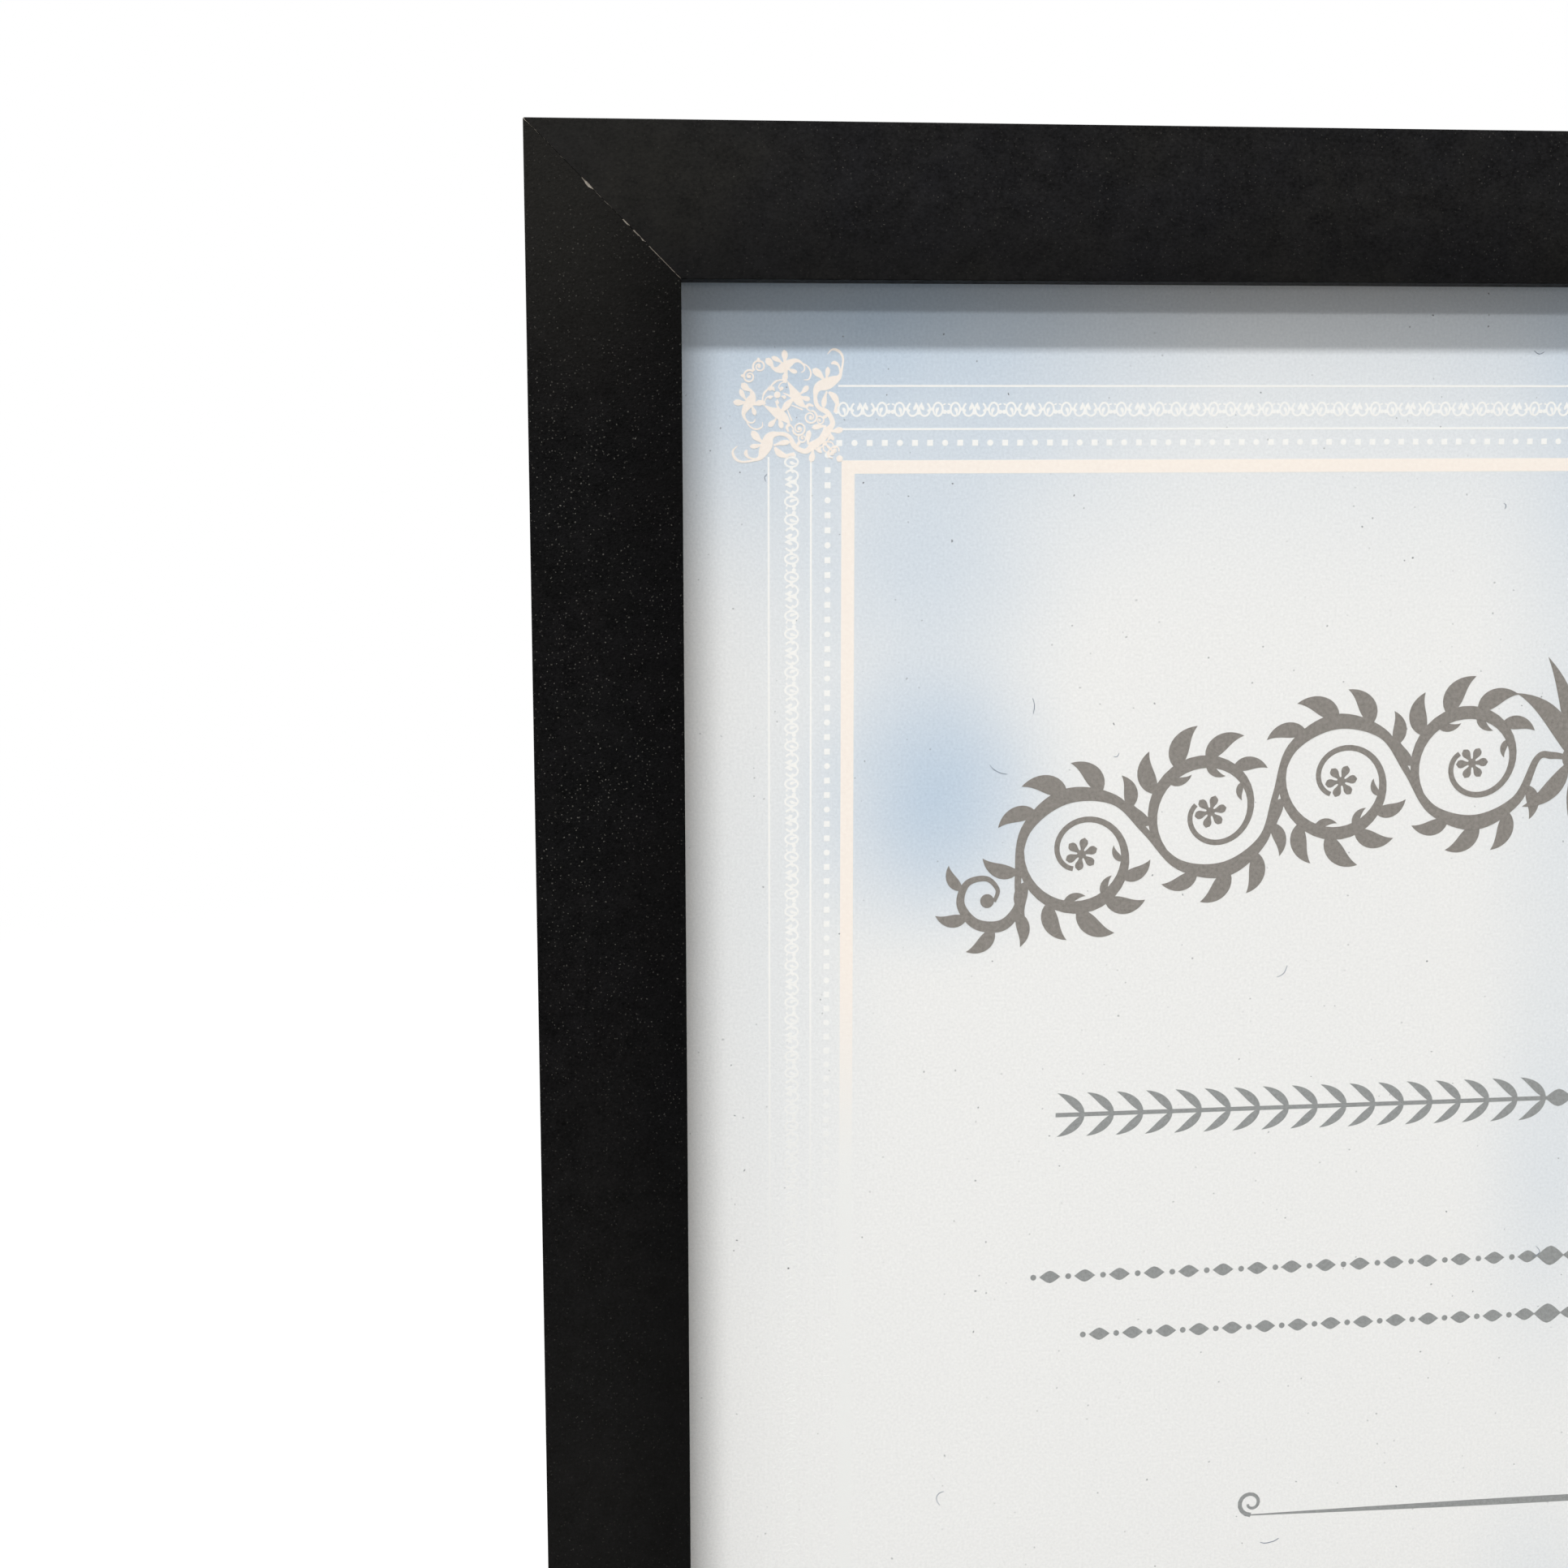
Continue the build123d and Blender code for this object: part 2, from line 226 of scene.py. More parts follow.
class Effects:
    """Shader node groups for what several finishes share, each built once."""

    GRAIN_ROUGHNESS = 0.6
    GRAIN_SPREAD = (0.28, 0.72)
    RAGGED_FINENESS = 2.6
    RAGGED_REACH = 0.4
    SPECK_SIZES = (0.35, 1.0)
    SPECK_CORE = 0.55
    SPECK_STRENGTHS = (0.15, 1.0)
    BEVEL_SAMPLES = 6
    EDGE_SPREAD = (0.985, 0.86)
    WEAR_DETAIL = 3.0
    WEAR_SPREAD = (0.42, 0.62)

    def __init__(self) -> None:
        """Builds the groups."""
        self.grain = self._grain()
        self.specks = self._specks()
        self.rubbed = self._rubbed()

    @staticmethod
    def _open(name: str, vectors: Sequence[str], values: Sequence[str], output: str) -> tuple:
        """Starts a group.

        Args:
            name: The group's name.
            vectors: Names of its vector inputs.
            values: Names of its number inputs.
            output: The name of its one output.

        Returns:
            The tree, its inputs by name and the socket that takes its result.
        """
        tree = bpy.data.node_groups.new(name, "ShaderNodeTree")
        for labels, kind in ((vectors, "NodeSocketVector"), (values, "NodeSocketFloat")):
            for label in labels:
                tree.interface.new_socket(label, in_out="INPUT", socket_type=kind)
        tree.interface.new_socket(output, in_out="OUTPUT", socket_type="NodeSocketFloat")
        return tree, put(tree, "NodeGroupInput").outputs, put(tree, "NodeGroupOutput").inputs[output]

    def _grain(self) -> bpy.types.NodeTree:
        """Fine grain, stretched as fibre where wanted.

        Returns:
            A group that gives a value from 0 to 1.
        """
        tree, given, out = self._open("fine_grain", ("Coordinates", "Stretch"), ("Scale", "Detail"), "Value")
        pulled = put(tree, "ShaderNodeVectorMath", {0: given["Coordinates"], 1: given["Stretch"]},
                     operation="MULTIPLY")
        noise = put(tree, "ShaderNodeTexNoise",
                    {"Vector": pulled.outputs[0], "Scale": given["Scale"], "Detail": given["Detail"],
                     "Roughness": self.GRAIN_ROUGHNESS})
        tree.links.new(remap(tree, noise.outputs[0], 0.0, 1.0, *self.GRAIN_SPREAD), out)
        return tree

    def _specks(self) -> bpy.types.NodeTree:
        """Scattered specks of uneven size, outline and strength.

        Returns:
            A group that gives a mask.
        """
        tree, given, out = self._open("scattered_specks", ("Coordinates",), ("Scale", "Radius", "Share"),
                                      "Mask")
        finer = reckon(tree, "MULTIPLY", given["Scale"], self.RAGGED_FINENESS)
        ragged = put(tree, "ShaderNodeTexNoise",
                     {"Vector": given["Coordinates"], "Scale": finer, "Detail": 1.0})
        aside = put(tree, "ShaderNodeVectorMath", {0: ragged.outputs["Color"], 1: (0.5, 0.5, 0.5)},
                    operation="SUBTRACT")
        reach = reckon(tree, "DIVIDE", self.RAGGED_REACH, given["Scale"])
        shift = put(tree, "ShaderNodeVectorMath", {0: aside.outputs[0], "Scale": reach}, operation="SCALE")
        moved = put(tree, "ShaderNodeVectorMath", {0: given["Coordinates"], 1: shift.outputs[0]})
        cells = put(tree, "ShaderNodeTexVoronoi", {"Vector": moved.outputs[0], "Scale": given["Scale"]})
        chance = put(tree, "ShaderNodeSeparateColor", {0: cells.outputs["Color"]}).outputs
        kept = reckon(tree, "LESS_THAN", chance[0], given["Share"])
        edge = reckon(tree, "MULTIPLY", remap(tree, chance[1], *self.SPECK_SIZES), given["Radius"])
        core = reckon(tree, "MULTIPLY", edge, self.SPECK_CORE)
        spot = remap(tree, cells.outputs["Distance"], 0.0, 1.0, edge, core)
        shown = reckon(tree, "MULTIPLY", kept, remap(tree, chance[2], *self.SPECK_STRENGTHS))
        tree.links.new(reckon(tree, "MULTIPLY", spot, shown), out)
        return tree

    def _rubbed(self) -> bpy.types.NodeTree:
        """Edges rubbed bare in patches.

        Returns:
            A group that gives a mask.
        """
        tree, given, out = self._open("rubbed_edges", ("Coordinates",), ("Radius", "Patch Scale"), "Mask")
        eased = put(tree, "ShaderNodeBevel", {"Radius": given["Radius"]}, samples=self.BEVEL_SAMPLES)
        true = put(tree, "ShaderNodeNewGeometry")
        facing = put(tree, "ShaderNodeVectorMath", {0: eased.outputs[0], 1: true.outputs["Normal"]},
                     operation="DOT_PRODUCT")
        edge = remap(tree, facing.outputs["Value"], 0.0, 1.0, *self.EDGE_SPREAD)
        patch = put(tree, "ShaderNodeTexNoise",
                    {"Vector": given["Coordinates"], "Scale": given["Patch Scale"],
                     "Detail": self.WEAR_DETAIL})
        worn = remap(tree, patch.outputs[0], 0.0, 1.0, *self.WEAR_SPREAD)
        tree.links.new(reckon(tree, "MULTIPLY", edge, worn), out)
        return tree


class Bench:
    """One material under way: its tree, its shader and its Object coordinates."""

    def __init__(self, name: str, effects: Effects) -> None:
        """Starts a material.

        Args:
            name: The finish's name.
            effects: The shared node groups.
        """
        self.material = bpy.data.materials.new(name)
        self.material.use_nodes = True
        self.tree = self.material.node_tree
        self.shader = self.tree.nodes["Principled BSDF"]
        self.output = self.tree.nodes["Material Output"]
        self.effects = effects
        self.coordinates = put(self.tree, "ShaderNodeTexCoord").outputs["Object"]

    def group(self, group: bpy.types.NodeTree, sockets: dict) -> bpy.types.NodeSocket:
        """Places a shared group, with its values, on the Object coordinates."""
        feeds = {"Coordinates": self.coordinates, **sockets}
        return put(self.tree, "ShaderNodeGroup", feeds, node_tree=group).outputs[0]

    def grain(self, scale: float, detail: float = 3.0,
              stretch: tuple[float, float, float] = (1.0, 1.0, 1.0)) -> bpy.types.NodeSocket:
        """Fine grain from 0 to 1, with about this many grains in a metre."""
        return self.group(self.effects.grain, {"Scale": scale, "Detail": detail, "Stretch": stretch})

    def specks(self, scale: float, radius: float, share: float) -> bpy.types.NodeSocket:
        """A mask of specks: cells in a metre, a speck's radius in cells and the share that hold one."""
        return self.group(self.effects.specks, {"Scale": scale, "Radius": radius, "Share": share})

    def rubbed(self, radius: float, patch: float) -> bpy.types.NodeSocket:
        """A mask of rubbed edges: how far the wear reaches, in metres, and patches in a metre."""
        return self.group(self.effects.rubbed, {"Radius": radius, "Patch Scale": patch})

    def mix(self, share: object, first: object, second: object) -> bpy.types.NodeSocket:
        """Mixes two colours, with this share of the second."""
        return put(self.tree, "ShaderNodeMix", {0: share, 6: first, 7: second}, data_type="RGBA").outputs[2]

    def span(self, value: object, low: float, high: float, start: float = 0.0, end: float = 1.0,
             smooth: bool = False) -> bpy.types.NodeSocket:
        """Maps a value to a range in this material."""
        return remap(self.tree, value, low, high, start, end, smooth)

    def sum(self, operation: str, first: object, second: object = 0.0) -> bpy.types.NodeSocket:
        """Takes one step of arithmetic in this material."""
        return reckon(self.tree, operation, first, second)

    def far(self, across: object, up: object) -> bpy.types.NodeSocket:
        """Gives the straight distance from a distance sideways and one upwards."""
        squares = self.sum("ADD", self.sum("MULTIPLY", across, across), self.sum("MULTIPLY", up, up))
        return self.sum("SQRT", squares)

    def from_middle(self, level: float) -> tuple[bpy.types.NodeSocket, bpy.types.NodeSocket]:
        """Measures how far a place lies from the frame's upright middle line and from a level.

        Args:
            level: The level's height in millimetres.

        Returns:
            The distance sideways and the distance up or down, in metres.
        """
        place = put(self.tree, "ShaderNodeSeparateXYZ", {0: self.coordinates})
        across = self.sum("ABSOLUTE", place.outputs[0])
        return across, self.sum("ABSOLUTE", self.sum("SUBTRACT", place.outputs[2], level * MM))

    def bump(self, height: bpy.types.NodeSocket, depth: float) -> None:
        """Gives the surface a relief of this depth in metres."""
        relief = put(self.tree, "ShaderNodeBump", {"Height": height, "Distance": depth, "Strength": 1.0})
        self.tree.links.new(relief.outputs[0], self.shader.inputs["Normal"])

    def dress(self, sockets: dict) -> bpy.types.Material:
        """Sets the shader's inputs, to values or feeds, and gives the finished material."""
        feed(self.tree, self.shader, sockets)
        return self.material


@dataclass(frozen=True)
class Ramp:
    """A soft change between two distances in millimetres, and the share that it ends at."""

    start: float
    end: float
    share: float


@dataclass(frozen=True)
class FoilFinish:
    """Near-black foil or paper wrap with a pebbled grain, fine pores, a dusting of settled specks and painted
    glints; on the rails also painted sheen towards the corners and along the middle of the uprights, and
    painted shade towards the inner edge.
    """

    name: str
    deep: Colour = tone(8, 8, 8.5)
    worn: Colour = tone(38, 37, 34)
    cool: Colour = tone(31, 31, 34)
    # Tone of the painted sheen: lighter foil at the corners and along the middle of the uprights.
    painted_sheen: Colour = tone(36, 35, 32.5)
    # Tone of the settled specks and of the painted glints.
    dust_and_glint_tone: Colour = tone(176, 172, 163)
    pore: Colour = (0.0008, 0.0008, 0.0009, 1.0)
    roughness: tuple[float, float] = (0.42, 0.58)
    gloss: float = 0.03
    relief: float = 0.00002
    stretch: tuple[float, float, float] = (1.0, 1.0, 1.0)
    grain_scale: float = 3600.0
    cloud_scale: float = 420.0
    cloud_share: float = 0.4
    patch_scale: float = 60.0
    speck_cell_scale: float = 1050.0
    speck_cell_share: float = 0.8
    dust_radius: float = 0.11
    dust_range: tuple[float, float] = (1.0, 4.0)
    # Strength of the settled specks and of the painted glints.
    glint_and_dust: float = 0.08
    glint_fineness: float = 2.2
    glint_radius: float = 0.27
    glint_range: tuple[float, float] = (0.5, 2.0)
    pore_fineness: float = 1.5
    pore_radius: float = 0.26
    pore_share: float = 0.8
    # Strength of the painted sheen at the corners. It is nonzero only on the rails, where it also turns on the
    # layers that follow the frame.
    corner_sheen: float = 0.0
    corner_sheen_reach: tuple[float, float] = (4.0, 36.0)
    corner_sheen_grain: tuple[float, float] = (0.7, 1.0)
    thinning: Ramp = Ramp(70.0, 130.0, 0.28)
    # Painted sheen along the middle of the uprights, by distance from the rail's end.
    mid_sheen: Ramp = Ramp(90.0, 150.0, 0.24)
    lip_shade: Ramp = Ramp(5.0, 15.9, 0.42)
    half_width: float = 0.0
    half_height: float = 0.0

    def build(self, effects: Effects) -> bpy.types.Material:
        """Makes the material.

        Args:
            effects: The shared node groups.

        Returns:
            The material.
        """
        bench = Bench(self.name, effects)
        fine = bench.grain(self.grain_scale, 2.0, self.stretch)
        cloud = bench.grain(self.cloud_scale, stretch=self.stretch)
        patch = bench.grain(self.patch_scale)
        dusty = bench.specks(self.speck_cell_scale, self.dust_radius, self.speck_cell_share)
        glints = bench.specks(self.speck_cell_scale * self.glint_fineness, self.glint_radius, self.speck_cell_share)
        pores = bench.specks(self.speck_cell_scale * self.pore_fineness, self.pore_radius, self.speck_cell_share)
        shade = bench.sum("ADD", bench.span(fine, 0.0, 1.0 - self.cloud_share),
                          bench.span(cloud, 0.0, self.cloud_share))
        colour = bench.mix(shade, self.deep, bench.mix(patch, self.worn, self.cool))
        colour = bench.mix(bench.sum("MULTIPLY", pores, self.pore_share), colour, self.pore)
        from_side = from_end = None
        if self.corner_sheen:
            across, up = bench.from_middle(self.half_height)
            from_side = bench.sum("SUBTRACT", self.half_width * MM, across)
            from_end = bench.sum("SUBTRACT", self.half_height * MM, up)
        # Pale specks in one tone: the finer layer is painted glints, highlights off the grain, and the coarser
        # layer a dusting of settled specks.
        for marks, (least, most) in ((glints, self.glint_range), (dusty, self.dust_range)):
            share = bench.span(patch, self.glint_and_dust * least, self.glint_and_dust * most)
            if self.corner_sheen:
                share = bench.sum("MULTIPLY", share, self.ramp(bench, from_end, 1.0, self.thinning))
            colour = bench.mix(bench.sum("MULTIPLY", marks, share), colour, self.dust_and_glint_tone)
        if self.corner_sheen:
            # Painted sheen: the middle stretch of each upright is lightened towards the sheen tone.
            colour = bench.mix(self.ramp(bench, from_end, 0.0, self.mid_sheen), colour, self.painted_sheen)
            # Painted sheen: the foil is lightened near each outer corner, mottled with the grain.
            near, last = (reach * MM for reach in self.corner_sheen_reach)
            painted_sheen = bench.span(bench.far(from_side, from_end), self.corner_sheen, 0.0, near, last, True)
            painted_sheen = bench.sum("MULTIPLY", painted_sheen, bench.span(fine, *self.corner_sheen_grain))
            colour = bench.mix(painted_sheen, colour, self.painted_sheen)
            inset = bench.sum("MINIMUM", from_side, from_end)
            colour = bench.mix(self.ramp(bench, inset, 0.0, self.lip_shade), colour, self.deep)
        bench.bump(bench.sum("ADD", bench.sum("SUBTRACT", fine, pores), dusty), self.relief)
        return bench.dress({"Base Color": colour, "Specular IOR Level": self.gloss,
                            "Roughness": bench.span(fine, *self.roughness)})

    @staticmethod
    def ramp(bench: Bench, distance: bpy.types.NodeSocket, first: float,
             change: Ramp) -> bpy.types.NodeSocket:
        """Eases from a first share to the one that a ramp ends at, along a distance in metres."""
        return bench.span(distance, first, change.share, change.start * MM, change.end * MM, True)


@dataclass(frozen=True)
class BoardFinish:
    """Pressed or raw fibre, from pale moulding core to brown backing board."""

    name: str
    pale: Colour
    dark: Colour
    fleck: Colour
    fibre_scale: float = 900.0
    stretch: tuple[float, float, float] = (1.0, 1.0, 1.0)
    relief: float = 0.00006
    fleck_share: float = 0.5
    fleck_scale: float = 780.0
    fleck_radius: float = 0.3
    cloud_scale: float = 26.0
    cloud_share: float = 0.35
    roughness: tuple[float, float] = (0.72, 0.9)
    gloss: float = 0.25

    def build(self, effects: Effects) -> bpy.types.Material:
        """Makes the material.

        Args:
            effects: The shared node groups.

        Returns:
            The material.
        """
        bench = Bench(self.name, effects)
        fibre = bench.grain(self.fibre_scale, 5.0, self.stretch)
        cloud = bench.span(bench.grain(self.cloud_scale), 0.0, self.cloud_share)
        flecks = bench.specks(self.fleck_scale, self.fleck_radius, self.fleck_share)
        colour = bench.mix(cloud, bench.mix(fibre, self.pale, self.dark), self.dark)
        bench.bump(fibre, self.relief)
        return bench.dress({"Base Color": bench.mix(flecks, colour, self.fleck),
                            "Roughness": bench.span(fibre, *self.roughness),
                            "Specular IOR Level": self.gloss})


@dataclass(frozen=True)
class MetalFinish:
    """Pressed sheet steel, plated or painted, brighter where its edges are rubbed."""

    name: str
    body: Colour
    shade: Colour
    edge: Colour
    metallic: float = 1.0
    roughness: tuple[float, float] = (0.24, 0.42)
    stretch: tuple[float, float, float] = (1.0, 1.0, 1.0)
    wear_radius: float = 0.0005
    wear_scale: float = 420.0
    gloss: float = 0.5
    brush_scale: float = 2600.0
    brush_depth: float = 0.000012
    cloud_scale: float = 210.0
    cloud_share: float = 0.8
    cloud_roughness: tuple[float, float] = (-0.04, 0.08)

    def build(self, effects: Effects) -> bpy.types.Material:
        """Makes the material.

        Args:
            effects: The shared node groups.

        Returns:
            The material.
        """
        bench = Bench(self.name, effects)
        brushed = bench.grain(self.brush_scale, 3.0, self.stretch)
        cloud = bench.grain(self.cloud_scale)
        rub = bench.rubbed(self.wear_radius, self.wear_scale)
        colour = bench.mix(bench.span(cloud, 0.0, self.cloud_share), self.body, self.shade)
        rough = bench.sum("ADD", bench.span(brushed, *self.roughness),
                          bench.span(cloud, *self.cloud_roughness))
        bench.bump(brushed, self.brush_depth)
        metallic = self.metallic if self.metallic == 1.0 else bench.span(rub, self.metallic, 1.0)
        return bench.dress({"Base Color": bench.mix(rub, colour, self.edge), "Roughness": rough,
                            "Metallic": metallic, "Specular IOR Level": self.gloss})


@dataclass(frozen=True)
class WashSpot:
    """One soft patch of the sheet's blue wash, in millimetres from the print's middle."""

    across: float
    up: float
    half_width: float
    half_height: float
    strength: float


@dataclass(frozen=True)
class PaperFinish:
    """White stock with a soft blue wash, the same on both sides and at top and foot."""

    name: str = "washed_paper"
    white: Colour = tone(242.5, 240.5, 238.5)
    blue: Colour = tone(153, 186, 217)
    speck: Colour = tone(48, 51, 58)
    speck_scale: float = 820.0
    speck_radius: float = 0.09
    speck_share: float = 0.42
    drift_scale: float = 38.0
    drift: tuple[float, float] = (0.86, 1.14)
    tooth_scale: float = 3400.0
    tooth_depth: float = 0.00002
    tooth_wash: tuple[float, float] = (0.95, 1.05)
    tooth_shade: float = 0.12
    roughness: tuple[float, float] = (0.78, 0.9)
    gloss: float = 0.2
    middle: float = 150.8
    spots: tuple[WashSpot, ...] = (
        WashSpot(0.0, 142.0, 230.0, 50.0, 0.26),
        WashSpot(0.0, 136.0, 24.0, 44.0, 0.15),
        WashSpot(78.0, 138.0, 42.0, 52.0, 0.36),
        WashSpot(102.0, 140.0, 38.0, 56.0, 0.24),
        WashSpot(76.0, 107.0, 22.0, 17.0, 0.05),
        WashSpot(74.5, 77.5, 20.0, 21.0, 0.52),
        WashSpot(76.0, 95.0, 21.0, 26.0, 0.22),
        WashSpot(92.0, 70.0, 16.0, 62.0, 0.1),
        WashSpot(0.0, 88.0, 15.0, 78.0, 0.17),
        WashSpot(0.0, 31.0, 14.0, 35.0, 0.16),
    )

    def build(self, effects: Effects) -> bpy.types.Material:
        """Makes the material.

        Args:
            effects: The shared node groups.

        Returns:
            The material.
        """
        bench = Bench(self.name, effects)
        across, up = bench.from_middle(self.middle)
        total = None
        for spot in self.spots:
            aside = bench.sum("SUBTRACT", across, spot.across * MM)
            above = bench.sum("SUBTRACT", up, spot.up * MM)
            reach = bench.far(bench.sum("DIVIDE", aside, spot.half_width * MM),
                              bench.sum("DIVIDE", above, spot.half_height * MM))
            patch = bench.span(reach, spot.strength, 0.0, smooth=True)
            total = patch if total is None else bench.sum("ADD", total, patch)
        tooth = bench.grain(self.tooth_scale)
        wash = bench.sum("MULTIPLY", total, bench.span(bench.grain(self.drift_scale), *self.drift))
        wash = bench.sum("MULTIPLY", wash, bench.span(tooth, *self.tooth_wash))
        colour = bench.mix(bench.sum("MINIMUM", wash, 1.0), self.white, self.blue)
        colour = bench.mix(bench.span(tooth, 0.0, self.tooth_shade), colour, self.speck)
        specks = bench.specks(self.speck_scale, self.speck_radius, self.speck_share)
        bench.bump(tooth, self.tooth_depth)
        return bench.dress({"Base Color": bench.mix(specks, colour, self.speck),
                            "Specular IOR Level": self.gloss,
                            "Roughness": bench.span(tooth, *self.roughness)})


@dataclass(frozen=True)
class InkFinish:
    """A printed line's ink, which may fade into the white stock halfway down the sheet."""

    name: str
    colour: Colour
    mottle: Colour
    fades: bool = False
    stock: Colour = tone(236, 234.6, 232.4)
    middle: float = 150.8
    fade_from: float = 64.0
    fade_to: float = 34.0
    tooth_scale: float = 2600.0
    tooth_depth: float = 0.00001
    roughness: tuple[float, float] = (0.7, 0.85)
    gloss: float = 0.2

    def build(self, effects: Effects) -> bpy.types.Material:
        """Makes the material.

        Args:
            effects: The shared node groups.

        Returns:
            The material.
        """
        bench = Bench(self.name, effects)
        tooth = bench.grain(self.tooth_scale)
        colour = bench.mix(tooth, self.colour, self.mottle)
        if self.fades:
            _, up = bench.from_middle(self.middle)
            faded = bench.span(up, 0.0, 1.0, self.fade_from * MM, self.fade_to * MM, True)
            colour = bench.mix(faded, colour, self.stock)
        bench.bump(tooth, self.tooth_depth)
        return bench.dress({"Base Color": colour, "Roughness": bench.span(tooth, *self.roughness),
                            "Specular IOR Level": self.gloss})


@dataclass(frozen=True)
class GlassFinish:
    """Clear picture glass that lets the light of the room through to the sheet."""

    name: str = "picture_glass"
    roughness: float = 0.015
    bend: float = 1.25
    clear: Colour = (0.985, 0.99, 0.988, 1.0)

    def build(self, effects: Effects) -> bpy.types.Material:
        """Makes the material.

        Args:
            effects: The shared node groups.

        Returns:
            The material.
        """
        bench = Bench(self.name, effects)
        bench.dress({"Base Color": self.clear, "Roughness": self.roughness, "IOR": self.bend,
                     "Transmission Weight": 1.0})
        ray = put(bench.tree, "ShaderNodeLightPath")
        passing = bench.sum("MAXIMUM", ray.outputs["Is Shadow Ray"], ray.outputs["Is Diffuse Ray"])
        through = put(bench.tree, "ShaderNodeBsdfTransparent", {0: self.clear})
        both = put(bench.tree, "ShaderNodeMixShader",
                   {0: passing, 1: bench.shader.outputs[0], 2: through.outputs[0]})
        bench.tree.links.new(both.outputs[0], bench.output.inputs[0])
        return bench.material


@dataclass(frozen=True)
class WornStretch:
    """A stretch of a mitre seam, in millimetres in from the frame's outer corner."""

    start: float
    end: float
    gap: float
    bare: float
    chip: bool = False


@dataclass(frozen=True)
class EdgePoint:
    """A point of the moulding's profile, with the way into the wood and the skin of the face before it."""

    across: float
    depth: float
    into: Point = (0.0, 0.0)
    skin: Skin = Skin.FOIL
    lap: bool = False


